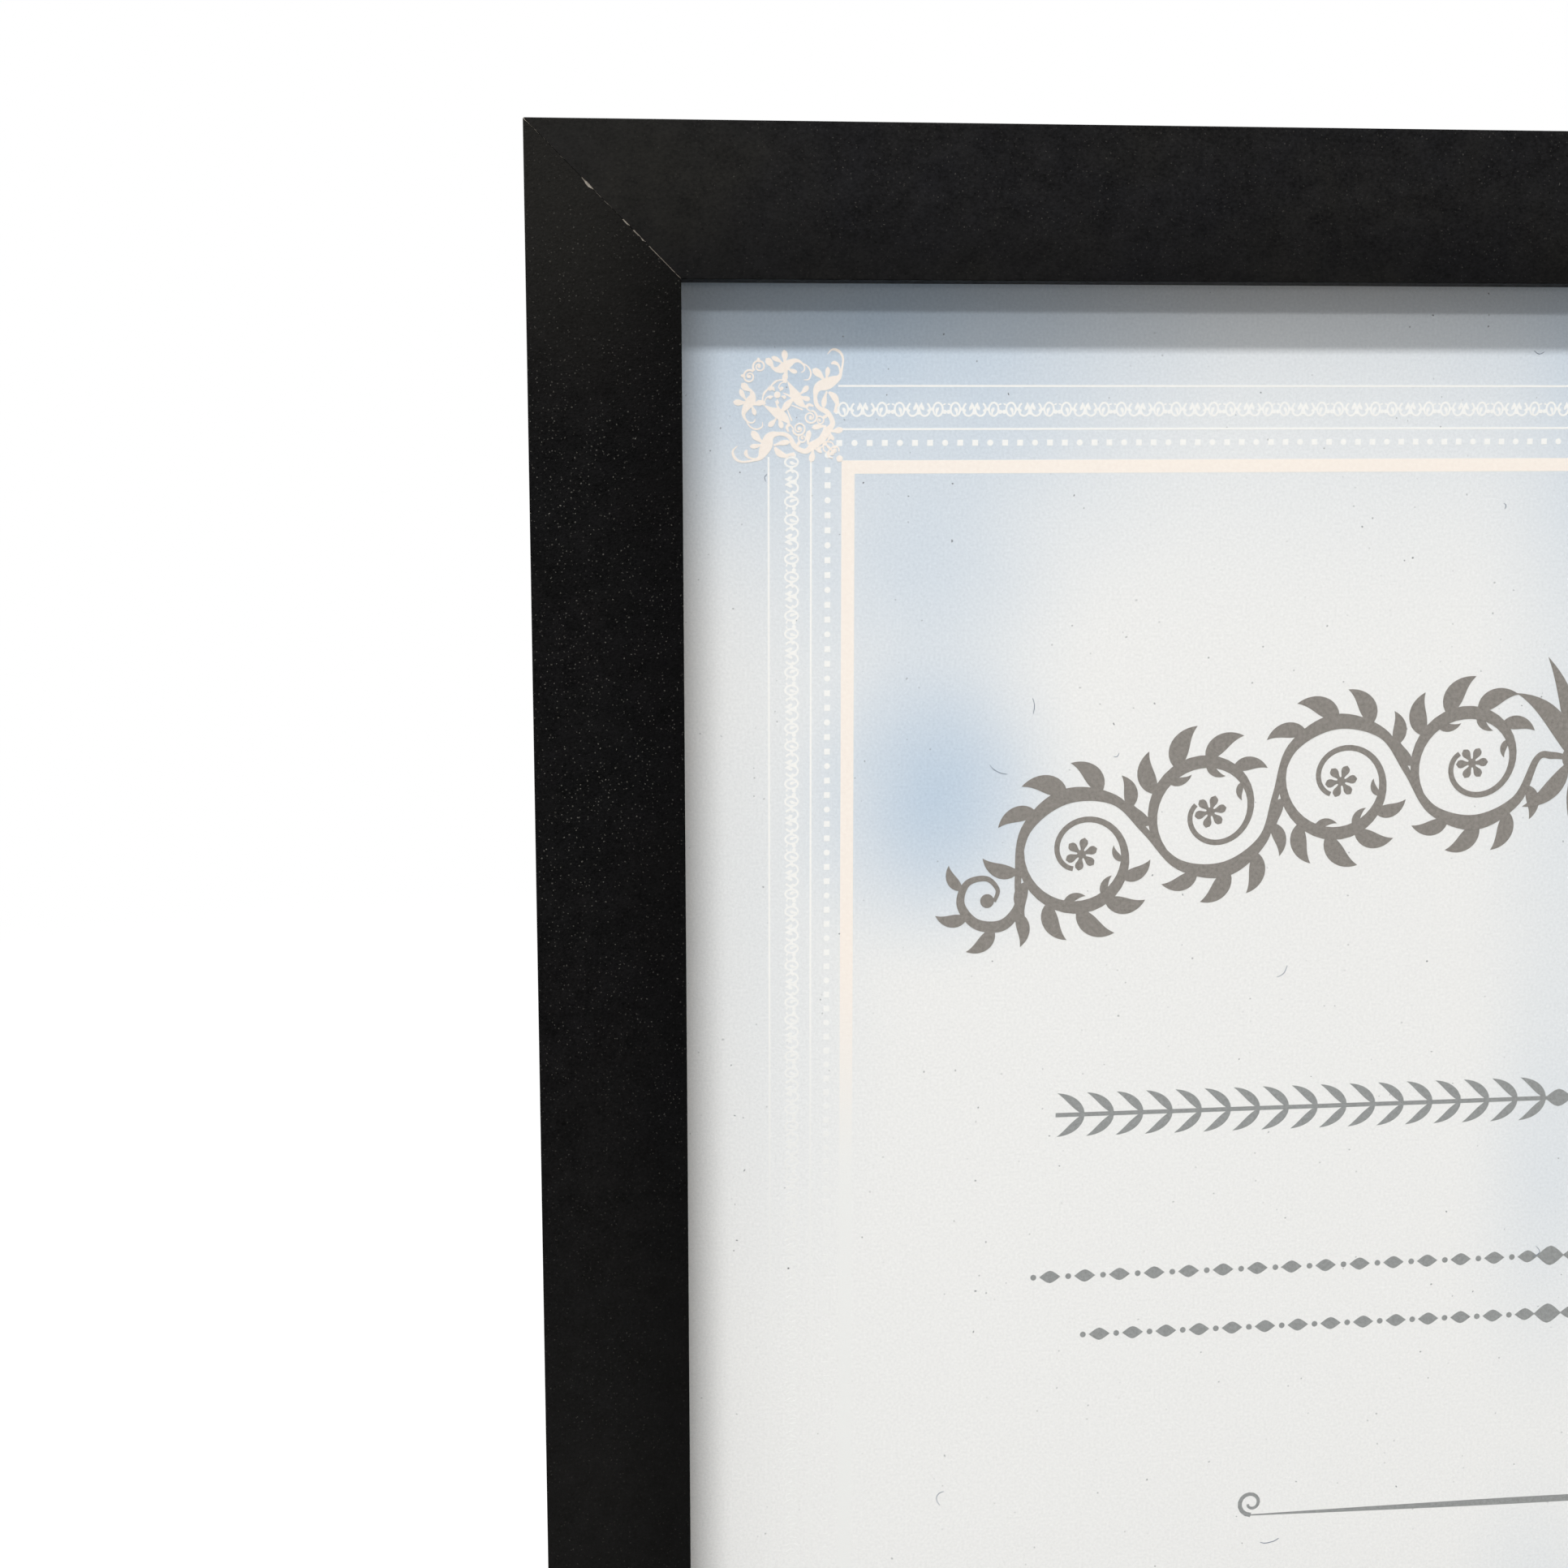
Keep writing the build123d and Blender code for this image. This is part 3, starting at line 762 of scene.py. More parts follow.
@dataclass
class Moulding:
    """The four rails: foil over a fibre core, with eased mitre seams and foil lapped onto the back."""

    half_width: float
    height: float
    face_width: float
    front: float
    back: float
    lip_back: float
    back_width: float
    edge_radius: float = 0.12
    back_radius: float = 0.4
    lap_width: float = 2.3
    lap_thickness: float = 0.08
    lap_edge: float = 0.02
    lap_wave: float = 0.09
    lap_paces: tuple[float, ...] = (0.11, 0.37, 0.9)
    seam_depth: float = 0.08
    seam_lead: float = 0.6
    seam_run: float = 1.6
    tight_gap: float = 0.025
    gap_range: tuple[float, float] = (0.7, 0.6)
    chip_rim: float = 0.04
    upright_chip: float = 1.25
    level_chip: float = 0.35
    side_lean: float = 0.16
    side_steps: int = 4
    round_steps: int = 6
    face_steps: int = 118
    lip_steps: int = 3
    mid_steps: int = 46
    crease: float = 25.0
    seams: dict[Corner, tuple[WornStretch, ...]] = field(default_factory=lambda: {
        Corner.TOP_LEFT: (
            WornStretch(0.0, 0.35, 0.09, 0.9), WornStretch(0.35, 2.6, 0.045, 0.75),
            WornStretch(2.6, 5.7, 0.04, 0.3), WornStretch(5.7, 7.15, 0.2, 1.0, True),
            WornStretch(7.15, 8.9, 0.045, 0.8), WornStretch(8.9, 9.9, 0.04, 0.2),
            WornStretch(9.9, 12.2, 0.085, 0.95), WornStretch(12.55, 15.9, 0.05, 0.95)),
        Corner.TOP_RIGHT: (
            WornStretch(0.0, 6.2, 0.035, 0.1), WornStretch(6.2, 9.5, 0.06, 0.6),
            WornStretch(9.5, 15.9, 0.045, 0.35)),
        Corner.BOTTOM_LEFT: (
            WornStretch(0.0, 3.0, 0.05, 0.5), WornStretch(3.0, 12.0, 0.035, 0.08),
            WornStretch(12.0, 15.9, 0.055, 0.65)),
        Corner.BOTTOM_RIGHT: (
            WornStretch(0.0, 8.0, 0.035, 0.06), WornStretch(8.0, 8.9, 0.16, 0.9, True),
            WornStretch(8.9, 15.9, 0.045, 0.4)),
    })

    def profile(self) -> list[EdgePoint]:
        """Draws the moulding's section as a closed outline.

        Returns:
            Its points, from the outer side round the front to the back.
        """
        r, w = self.edge_radius, self.face_width
        side_top, side_end = self.front + r, self.back - self.back_radius
        lap_back = self.back - self.lap_thickness
        points = []
        for t in (k / self.side_steps for k in range(self.side_steps + 1)):
            depth = side_end + (side_top - side_end) * t
            points.append(EdgePoint(self.side_lean * (1 - t), depth, (1.0, 0.0)))
        for middle, start in ((r, math.pi), (w - r, 1.5 * math.pi)):
            for k in range(1, self.round_steps + 1):
                turn = start + k / self.round_steps * math.pi / 2
                points.append(EdgePoint(middle + r * math.cos(turn), side_top + r * math.sin(turn),
                                        (-math.cos(turn), -math.sin(turn))))
            if middle == r:
                points += [EdgePoint(r + (w - 2 * r) * k / self.face_steps, self.front, (0.0, 1.0))
                           for k in range(1, self.face_steps)]
                points.append(EdgePoint(w - r, self.front, (0.0, 1.0)))
        points += [EdgePoint(w, side_top + (self.lip_back - side_top) * k / self.lip_steps, (-1.0, 0.0))
                   for k in range(1, self.lip_steps + 1)]
        points += [EdgePoint(self.back_width, self.lip_back, skin=Skin.RAW_BOARD),
                   EdgePoint(self.back_width, lap_back, skin=Skin.RAW_BOARD),
                   EdgePoint(self.lap_width, lap_back, skin=Skin.RAW_BOARD, lap=True),
                   EdgePoint(self.lap_width - self.lap_edge, self.back, lap=True),
                   EdgePoint(self.side_lean + self.back_radius, self.back)]
        for turn in (math.pi / 2 * (1 + k / 3) for k in (1, 2)):
            points.append(EdgePoint(self.side_lean + self.back_radius * (1 + math.cos(turn)),
                                    side_end + self.back_radius * math.sin(turn)))
        return points

    def seam(self, corner: Corner, side: Side, across: float, chance: random.Random) -> tuple[float, bool]:
        """Reads a mitre seam at one place.

        Args:
            corner: Which mitre.
            side: Which of its two rails.
            across: Distance in from the outer corner.
            chance: The seam's own seeded chance.

        Returns:
            The rail's half of the gap, and whether its core is bare there.
        """
        least, spread = self.gap_range
        for worn in self.seams[corner]:
            if worn.start <= across < worn.end:
                gap = worn.gap * (least + spread * chance.random())
                if worn.chip:
                    swell = math.sin(math.pi * (across - worn.start) / (worn.end - worn.start)) ** 3
                    chip = self.upright_chip if side.upright else self.level_chip
                    gap = self.chip_rim + worn.gap * swell * chip
                return gap, chance.random() < worn.bare
        return self.tight_gap, False

    @staticmethod
    def corner_of(side: Side, end: int) -> Corner:
        """Names the corner at one end, -1 or 1 along it, of a rail."""
        signs = {Side.TOP: (end, 1), Side.BOTTOM: (end, -1), Side.LEFT: (-1, end), Side.RIGHT: (1, end)}
        return Corner(signs[side])

    def place(self, side: Side, along: float, across: float, depth: float) -> Vector:
        """Places a point of a rail in the frame.

        Args:
            side: The rail.
            along: Distance along it from its middle.
            across: Distance in from its outer side.
            depth: Depth from front to back.

        Returns:
            The point in metres.
        """
        middle = self.height / 2
        spots = {Side.TOP: (along, self.height - across), Side.BOTTOM: (along, across),
                 Side.LEFT: (across - self.half_width, middle + along),
                 Side.RIGHT: (self.half_width - across, middle + along)}
        x, z = spots[side]
        return Vector((x, depth, z)) * MM

    def rail(self, side: Side, skins: Sequence[bpy.types.Material]) -> bpy.types.Object:
        """Builds one rail in the place of its solid.

        Args:
            side: The rail.
            skins: Its materials, in the order of Skin.

        Returns:
            The rail.
        """
        half = self.height / 2 if side.upright else self.half_width
        outline = self.profile()
        seeds = {end: random.Random(f"{side.value} {end}") for end in (-1, 1)}
        phase = random.Random(side.value).uniform(0, FULL_TURN)
        work = bmesh.new()
        rows, bare = [], {-1: [], 1: []}
        for point in outline:
            reach = half - point.across
            gaps = {}
            for end in (-1, 1):
                gaps[end], open_core = self.seam(self.corner_of(side, end), side, point.across, seeds[end])
                bare[end].append(open_core and point.depth < self.front + self.edge_radius)
            stops = [-reach, gaps[-1] - reach, self.seam_lead - reach]
            stops += [(reach - self.seam_run) * (2 * k / self.mid_steps - 1)
                      for k in range(self.mid_steps + 1)]
            stops += [reach - self.seam_lead, reach - gaps[1], reach]
            row = []
            for k, along in enumerate(stops):
                across, depth = point.across, point.depth
                if k in (0, len(stops) - 1):
                    across += point.into[0] * self.seam_depth
                    depth += point.into[1] * self.seam_depth
                    along = math.copysign(half - across, along)
                elif point.lap:
                    across += sum(self.lap_wave * math.sin(along * pace + phase) for pace in self.lap_paces)
                row.append(work.verts.new(self.place(side, along, across, depth)))
            rows.append(row)
        for i, row in enumerate(rows):
            after = (i + 1) % len(rows)
            for k in range(len(row) - 1):
                face = work.faces.new((row[k], row[k + 1], rows[after][k + 1], rows[after][k]))
                end = -1 if k == 0 else 1 if k == len(row) - 2 else 0
                core = end and bare[end][i] and bare[end][after]
                face.material_index = Skin.BARE_CORE.value if core else outline[after].skin.value
        for end in (0, -1):
            work.faces.new([row[end] for row in rows]).material_index = Skin.RAW_BOARD.value
        mesh = mesh_of(work, self.crease)
        for skin in skins:
            mesh.materials.append(skin)
        piece = new_piece(f"foil_{side.value}", mesh)
        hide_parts(side.value)
        return piece


class InkPlate:
    """Gathers flat printed shapes, in millimetres across and up, into one thin closed mesh."""

    LEVEL_STEP = 0.02
    LEVELS = 97
    FINEST = 0.006
    LEAF_NECK = 0.38
    LEAF_SWELL = (0.12, 0.5)
    LEAF_HEAD = 0.62
    CURL_FOOT = 0.16
    CURL_BELLY = 0.95
    CURL_LEAN = 0.8
    SCROLL_WINDING = 1.3
    SCROLL_TAPER = 0.45

    def __init__(self, thickness: float = 0.03) -> None:
        """Starts an empty plate.

        Args:
            thickness: Thickness of the ink.
        """
        self.work = bmesh.new()
        self.thickness = thickness
        self.count = 0
        self.place: Callable[[float, float], Point] = lambda across, up: (across, up)

    def _vertex(self, spot: Point, level: float) -> bmesh.types.BMVert:
        """Adds a corner at a spot, at this height over the paper."""
        across, up = self.place(*spot)
        return self.work.verts.new((across * MM, up * MM, level * MM))

    def _level(self) -> float:
        """Gives each shape its own height, so that no two faces fall together."""
        self.count += 1
        return self.thickness * (1 + self.LEVEL_STEP * (self.count % self.LEVELS))

    def strip(self, line: Drawn) -> None:
        """Prints a band of changing width.

        Args:
            line: Across, up and width along its middle.
        """
        top = self._level()
        rows = []
        for k, (x, y, width) in enumerate(line):
            before, after = line[max(k - 1, 0)], line[min(k + 1, len(line) - 1)]
            run = Vector((after[0] - before[0], after[1] - before[1])).normalized()
            out = Vector((-run.y, run.x)) * max(width, self.FINEST) / 2
            rows.append([self._vertex((x + s * out.x, y + s * out.y), z) for s, z in
                         ((1, top), (-1, top), (-1, 0.0), (1, 0.0))])
        for row, following in zip(rows, rows[1:]):
            for k in range(4):
                self.work.faces.new((row[k], following[k], following[k - 3], row[k - 3]))
        self.work.faces.new(rows[0])
        self.work.faces.new(rows[-1][::-1])

    def stroke(self, drawn: Drawn, steps: int = 5) -> None:
        """Prints a smooth stroke through drawn points, with this many pieces between two of them."""
        self.strip(smooth_line(drawn, steps))

    def leaf(self, tail: Point, tip: Point, width: float, bow: float = 0.0, steps: int = 8) -> None:
        """Prints a club-shaped leaf, with a slim neck and a round head.

        Args:
            tail: The foot of its neck.
            tip: The end of its head.
            width: Its greatest width.
            bow: Sideways bend, as a share of its length.
            steps: Pieces along it.
        """
        run = Vector(tip) - Vector(tail)
        out = Vector((-run.y, run.x))
        line = []
        for t in (k / steps for k in range(steps + 1)):
            spot = Vector(tail) + run * t + out * bow * math.sin(math.pi * t)
            swell = min(max((t - self.LEAF_SWELL[0]) / self.LEAF_SWELL[1], 0.0), 1.0)
            body = self.LEAF_NECK + (1 - self.LEAF_NECK) * swell * swell * (3 - 2 * swell)
            head = math.sqrt(max(1 - (max(t - self.LEAF_HEAD, 0.0) / (1 - self.LEAF_HEAD)) ** 2, 0.0))
            line.append((spot.x, spot.y, width * body * head))
        self.strip(line)

    def curl(self, tail: Point, heading: float, turn: float, length: float, width: float,
             steps: int = 12) -> None:
        """Prints a pointed leaf that bends evenly as it grows.

        Args:
            tail: Where it springs.
            heading: The direction in which it springs, in degrees.
            turn: The angle that it bends through, in degrees.
            length: Its length.
            width: Its greatest width.
            steps: Pieces along it.
        """
        spot = Vector(tail)
        line = []
        for t in (k / steps for k in range(steps + 1)):
            belly = self.CURL_BELLY * math.sin(math.pi * t ** self.CURL_LEAN)
            line.append((spot.x, spot.y, width * (self.CURL_FOOT * (1 - t) + belly)))
            way = math.radians(heading + turn * t)
            spot = spot + Vector((math.cos(way), math.sin(way))) * length / steps
        self.strip(line)

    def oval(self, middle: Point, across: float, up: float, start: float, turn: float, width: float,
             steps: int = 13) -> None:
        """Prints part of an oval ring, given half its width and height and its angles in degrees."""
        angles = [math.radians(start + turn * k / steps) for k in range(steps + 1)]
        self.strip([(middle[0] + across * math.cos(a), middle[1] + up * math.sin(a), width) for a in angles])

    def spiral(self, middle: Point, outer: float, inner: float, turns: float, start: float, width: float,
               steps: int = 22) -> None:
        """Prints a scroll that winds inwards.

        Args:
            middle: Its centre.
            outer: Radius where it starts.
            inner: Radius where it ends.
            turns: Turns, negative to wind the other way.
            start: Angle where it starts, in degrees.
            width: Width at its start.
            steps: Pieces along it.
        """
        line = []
        for t in (k / steps for k in range(steps + 1)):
            turn = math.radians(start) + turns * t * 2 * math.pi
            reach = outer + (inner - outer) * t ** self.SCROLL_WINDING
            line.append((middle[0] + reach * math.cos(turn), middle[1] + reach * math.sin(turn),
                         width * (1 - self.SCROLL_TAPER * t)))
        self.strip(line)

    def disc(self, middle: Point, radius: float, sides: int = 10) -> None:
        """Prints a round dot.

        Args:
            middle: Its centre.
            radius: Its radius.
            sides: Sides of its outline.
        """
        top = self._level()
        angles = [2 * math.pi * k / sides for k in range(sides)]
        rim = [(middle[0] + radius * math.cos(a), middle[1] + radius * math.sin(a)) for a in angles]
        rings = [[self._vertex(spot, level) for spot in rim] for level in (top, 0.0)]
        self.work.faces.new(rings[0])
        self.work.faces.new(rings[1][::-1])
        for k in range(sides):
            self.work.faces.new((rings[0][k - 1], rings[0][k], rings[1][k], rings[1][k - 1]))

    def mesh(self) -> bpy.types.Mesh:
        """Closes the plate as a flat mesh that faces up."""
        return mesh_of(self.work)


class RowTree:
    """Geometry Nodes trees that set small printed shapes along drawn edges."""

    DOT_CYCLE = 3.0
    ROUND_DOT = 1.0
    ROUND_SIDES = 12
    ROUND_SHARE = 0.53

    def __init__(self) -> None:
        """Builds the two trees."""
        self.motifs = self._motif_row()
        self.dots = self._dot_row()

    @staticmethod
    def _open(name: str, inputs: dict[str, str]) -> tuple:
        """Starts a tree that turns its edges into evenly spaced points.

        Args:
            name: The tree's name.
            inputs: Input names with their socket types, besides Geometry and Pitch.

        Returns:
            The tree, its input node, its spaced points and its output node.
        """
        tree = bpy.data.node_groups.new(name, "GeometryNodeTree")
        for label, kind in {"Geometry": "NodeSocketGeometry", "Pitch": "NodeSocketFloat", **inputs,
                            "Ink": "NodeSocketMaterial"}.items():
            tree.interface.new_socket(label, in_out="INPUT", socket_type=kind)
        tree.interface.new_socket("Geometry", in_out="OUTPUT", socket_type="NodeSocketGeometry")
        inside, out = put(tree, "NodeGroupInput"), put(tree, "NodeGroupOutput")
        curve = put(tree, "GeometryNodeMeshToCurve", {"Mesh": inside.outputs["Geometry"]})
        spaced = put(tree, "GeometryNodeResampleCurve",
                     {"Curve": curve.outputs[0], "Length": inside.outputs["Pitch"]}, mode="LENGTH")
        return tree, inside, spaced.outputs[0], out

    @staticmethod
    def _close(tree: bpy.types.NodeTree, shapes: bpy.types.NodeSocket, inside: bpy.types.Node,
               out: bpy.types.Node) -> bpy.types.NodeTree:
        """Ends a tree in real, inked geometry.

        Args:
            tree: The tree.
            shapes: Its instances.
            inside: Its input node.
            out: Its output node.

        Returns:
            The tree.
        """
        real = put(tree, "GeometryNodeRealizeInstances", {0: shapes})
        inked = put(tree, "GeometryNodeSetMaterial",
                    {"Geometry": real.outputs[0], "Material": inside.outputs["Ink"]})
        tree.links.new(inked.outputs[0], out.inputs[0])
        return tree

    def _motif_row(self) -> bpy.types.NodeTree:
        """A drawn motif, turned along the edges.

        Returns:
            The tree.
        """
        tree, inside, points, out = self._open("motif_row", {"Motif": "NodeSocketObject"})
        motif = put(tree, "GeometryNodeObjectInfo", {"Object": inside.outputs["Motif"]})
        run = put(tree, "GeometryNodeInputTangent")
        turn = put(tree, "FunctionNodeAlignRotationToVector", {"Vector": run.outputs[0]},
                   axis="X", pivot_axis="Z")
        rows = put(tree, "GeometryNodeInstanceOnPoints",
                   {"Points": points, "Instance": motif.outputs["Geometry"], "Rotation": turn.outputs[0]})
        return self._close(tree, rows.outputs[0], inside, out)

    def _dot_row(self) -> bpy.types.NodeTree:
        """Two square dots and a round one, over and over.

        Returns:
            The tree.
        """
        tree, inside, points, out = self._open("dot_row",
                                               {"Dot": "NodeSocketFloat", "Rise": "NodeSocketFloat"})
        dot, rise = inside.outputs["Dot"], inside.outputs["Rise"]
        number = put(tree, "GeometryNodeSplineParameter")
        third = reckon(tree, "MODULO", number.outputs["Index"], self.DOT_CYCLE)
        match = put(tree, "ShaderNodeMath", {0: third, 1: self.ROUND_DOT, 2: 0.5}, operation="COMPARE")
        is_round = match.outputs[0]
        is_square = reckon(tree, "SUBTRACT", 1.0, is_round)
        size = put(tree, "ShaderNodeCombineXYZ", {0: dot, 1: dot, 2: rise})
        square = put(tree, "GeometryNodeMeshCube", {"Size": size.outputs[0]})
        disc = put(tree, "GeometryNodeMeshCylinder",
                   {"Vertices": self.ROUND_SIDES, "Radius": reckon(tree, "MULTIPLY", dot, self.ROUND_SHARE),
                    "Depth": rise})
        both = put(tree, "GeometryNodeJoinGeometry")
        for shape, chosen in ((square, is_square), (disc, is_round)):
            row = put(tree, "GeometryNodeInstanceOnPoints",
                      {"Points": points, "Instance": shape.outputs[0], "Selection": chosen})
            tree.links.new(row.outputs[0], both.inputs[0])
        return self._close(tree, both.outputs[0], inside, out)

    @staticmethod
    def run(tree: bpy.types.NodeTree, edges: Sequence[tuple[Point, Point]], values: dict) -> bpy.types.Mesh:
        """Runs a tree over straight edges and keeps the result as a plain mesh.

        Args:
            tree: The tree.
            edges: Ends of each edge, in millimetres.
            values: The tree's inputs by name.

        Returns:
            The mesh, flat and facing up.
        """
        guide = bpy.data.meshes.new("guide")
        ends = [(x * MM, y * MM, 0.0) for edge in edges for x, y in edge]
        guide.from_pydata(ends, [(2 * k, 2 * k + 1) for k in range(len(edges))], [])
        carrier = bpy.data.objects.new("guide", guide)
        bpy.context.scene.collection.objects.link(carrier)
        rows = carrier.modifiers.new("rows", "NODES")
        rows.node_group = tree
        for item in tree.interface.items_tree:
            if item.in_out == "INPUT" and item.name in values:
                rows[item.identifier] = values[item.name]
        depsgraph = bpy.context.evaluated_depsgraph_get()
        mesh = bpy.data.meshes.new_from_object(carrier.evaluated_get(depsgraph), depsgraph=depsgraph)
        carrier.modifiers.remove(rows)
        bpy.data.objects.remove(carrier)
        return mesh


@dataclass
class CornerArabesque:
    """The scrolled leaf ornament on a corner of the printed border.

    It is drawn in small steps outwards from the corner of the broad rule, and repeats across the diagonal.
    """

    step_across: float = 0.01248
    step_up: float = 0.01218
    stems: tuple[Drawn, ...] = (
        ((615, 818, 10), (565, 795, 48), (515, 808, 84), (465, 845, 70), (415, 872, 42), (375, 870, 26),
         (340, 845, 16), (324, 815, 13), (330, 785, 12), (355, 770, 6)),
        ((365, 862, 6), (305, 830, 12), (275, 790, 14), (270, 750, 15), (290, 710, 12), (330, 707, 5)),
        ((482, 800, 22), (486, 765, 30), (493, 735, 50), (495, 700, 34), (482, 680, 12)),
        ((470, 695, 12), (535, 705, 13), (585, 680, 13), (625, 640, 12), (670, 600, 14), (686, 572, 10)),
        ((485, 690, 12), (525, 680, 11), (547, 650, 11), (540, 625, 7)),
        ((470, 688, 10), (435, 630, 46), (405, 570, 90), (365, 510, 68), (325, 475, 26), (290, 470, 14)),
        ((425, 550, 22), (470, 575, 16), (510, 592, 8)),
        ((435, 485, 10), (385, 465, 12), (340, 445, 14)),
        ((230, 560, 30), (224, 610, 54), (195, 650, 84), (135, 670, 104), (75, 700, 84), (25, 730, 44),
         (5, 780, 22), (-5, 830, 18), (-10, 890, 18), (10, 940, 22), (50, 968, 24), (90, 968, 16),
         (125, 930, 5)),
        ((15, 760, 12), (20, 810, 16), (35, 840, 22), (65, 856, 34), (92, 846, 14)),
        ((115, 600, 18), (65, 560, 56), (40, 500, 36), (50, 470, 24), (55, 420, 34)),
        ((232, 580, 30), (225, 510, 36), (195, 460, 36), (135, 430, 46), (95, 380, 42), (80, 320, 46),
         (115, 270, 58), (150, 220, 68), (180, 180, 62), (225, 150, 66), (285, 130, 52)),
        ((245, 475, 14), (285, 490, 26), (310, 470, 14), (285, 440, 12), (262, 430, 8)),
        ((165, 150, 22), (125, 130, 16), (95, 100, 14), (75, 60, 10)),
        ((135, 165, 16), (90, 160, 12), (70, 135, 10)),
    )
    leaves: tuple[tuple[float, ...], ...] = (
        (717, 856, 730, 898, 26), (592, 803, 661, 893, 60), (500, 846, 503, 968, 54),
        (513, 848, 613, 905, 42), (472, 806, 385, 772, 40), (640, 645, 612, 612, 26),
        (360, 585, 293, 657, 48), (362, 565, 273, 535, 46), (150, 700, 257, 803, 64),
        (140, 706, 122, 822, 42), (130, 606, 158, 458, 46), (98, 258, -14, 278, 54),
        (102, 248, 67, 176, 32), (136, 300, 262, 286, 48), (110, 400, 165, 372, 30),
        (165, 125, 215, 88, 30), (85, 110, 40, 128, 26),
    )
    scrolls: tuple[tuple[float, ...], ...] = (
        (717, 822, 56, 14, 1.5, -40, 19), (273, 380, 60, 14, 1.6, 100, 18), (190, 350, 40, 10, 1.2, 40, 15),
        (62, 92, 40, 12, -1.2, 200, 11),
    )
    flower: Point = (562, 575)
    flower_heart: float = 29
    petals: int = 5
    petal_reach: Point = (40, 84)
    petal_width: float = 32
    knot: Drawn = ((425, 530, 26), (475, 489, 60), (522, 442, 26))
    root: Point = (16, 18)
    root_radius: float = 29

    def draw(self, plate: InkPlate, corner: Callable[[float, float], Point]) -> None:
        """Prints the ornament at one corner.

        Args:
            plate: The ink that takes it.
            corner: Places a point, given how far it stands out sideways and upwards from the corner.
        """
        for mirrored in (False, True):
            def place(out: float, up: float, swap: bool = mirrored) -> Point:
                """Places one drawn point, on this side of the diagonal or on the other."""
                spot = (out * self.step_across, up * self.step_up)
                return corner(*(spot[::-1] if swap else spot))
            plate.place = place
            for stem in self.stems:
                plate.stroke(stem, 4)
            for x0, y0, x1, y1, width in self.leaves:
                plate.leaf((x0, y0), (x1, y1), width, 0.05, 7)
            for x, y, outer, inner, turns, start, width in self.scrolls:
                plate.spiral((x, y), outer, inner, turns, start, width, 20)
                plate.disc((x, y), inner * 1.1, 8)
        plate.disc(self.flower, self.flower_heart, 12)
        for k in range(self.petals):
            turn = math.radians(360 / self.petals * (k + 0.5))
            way = Vector((math.cos(turn), math.sin(turn)))
            near, far = (Vector(self.flower) + way * reach for reach in self.petal_reach)
            plate.leaf(tuple(near), tuple(far), self.petal_width, 0.0, 6)
        plate.stroke(self.knot, 4)
        plate.disc(self.root, self.root_radius, 12)


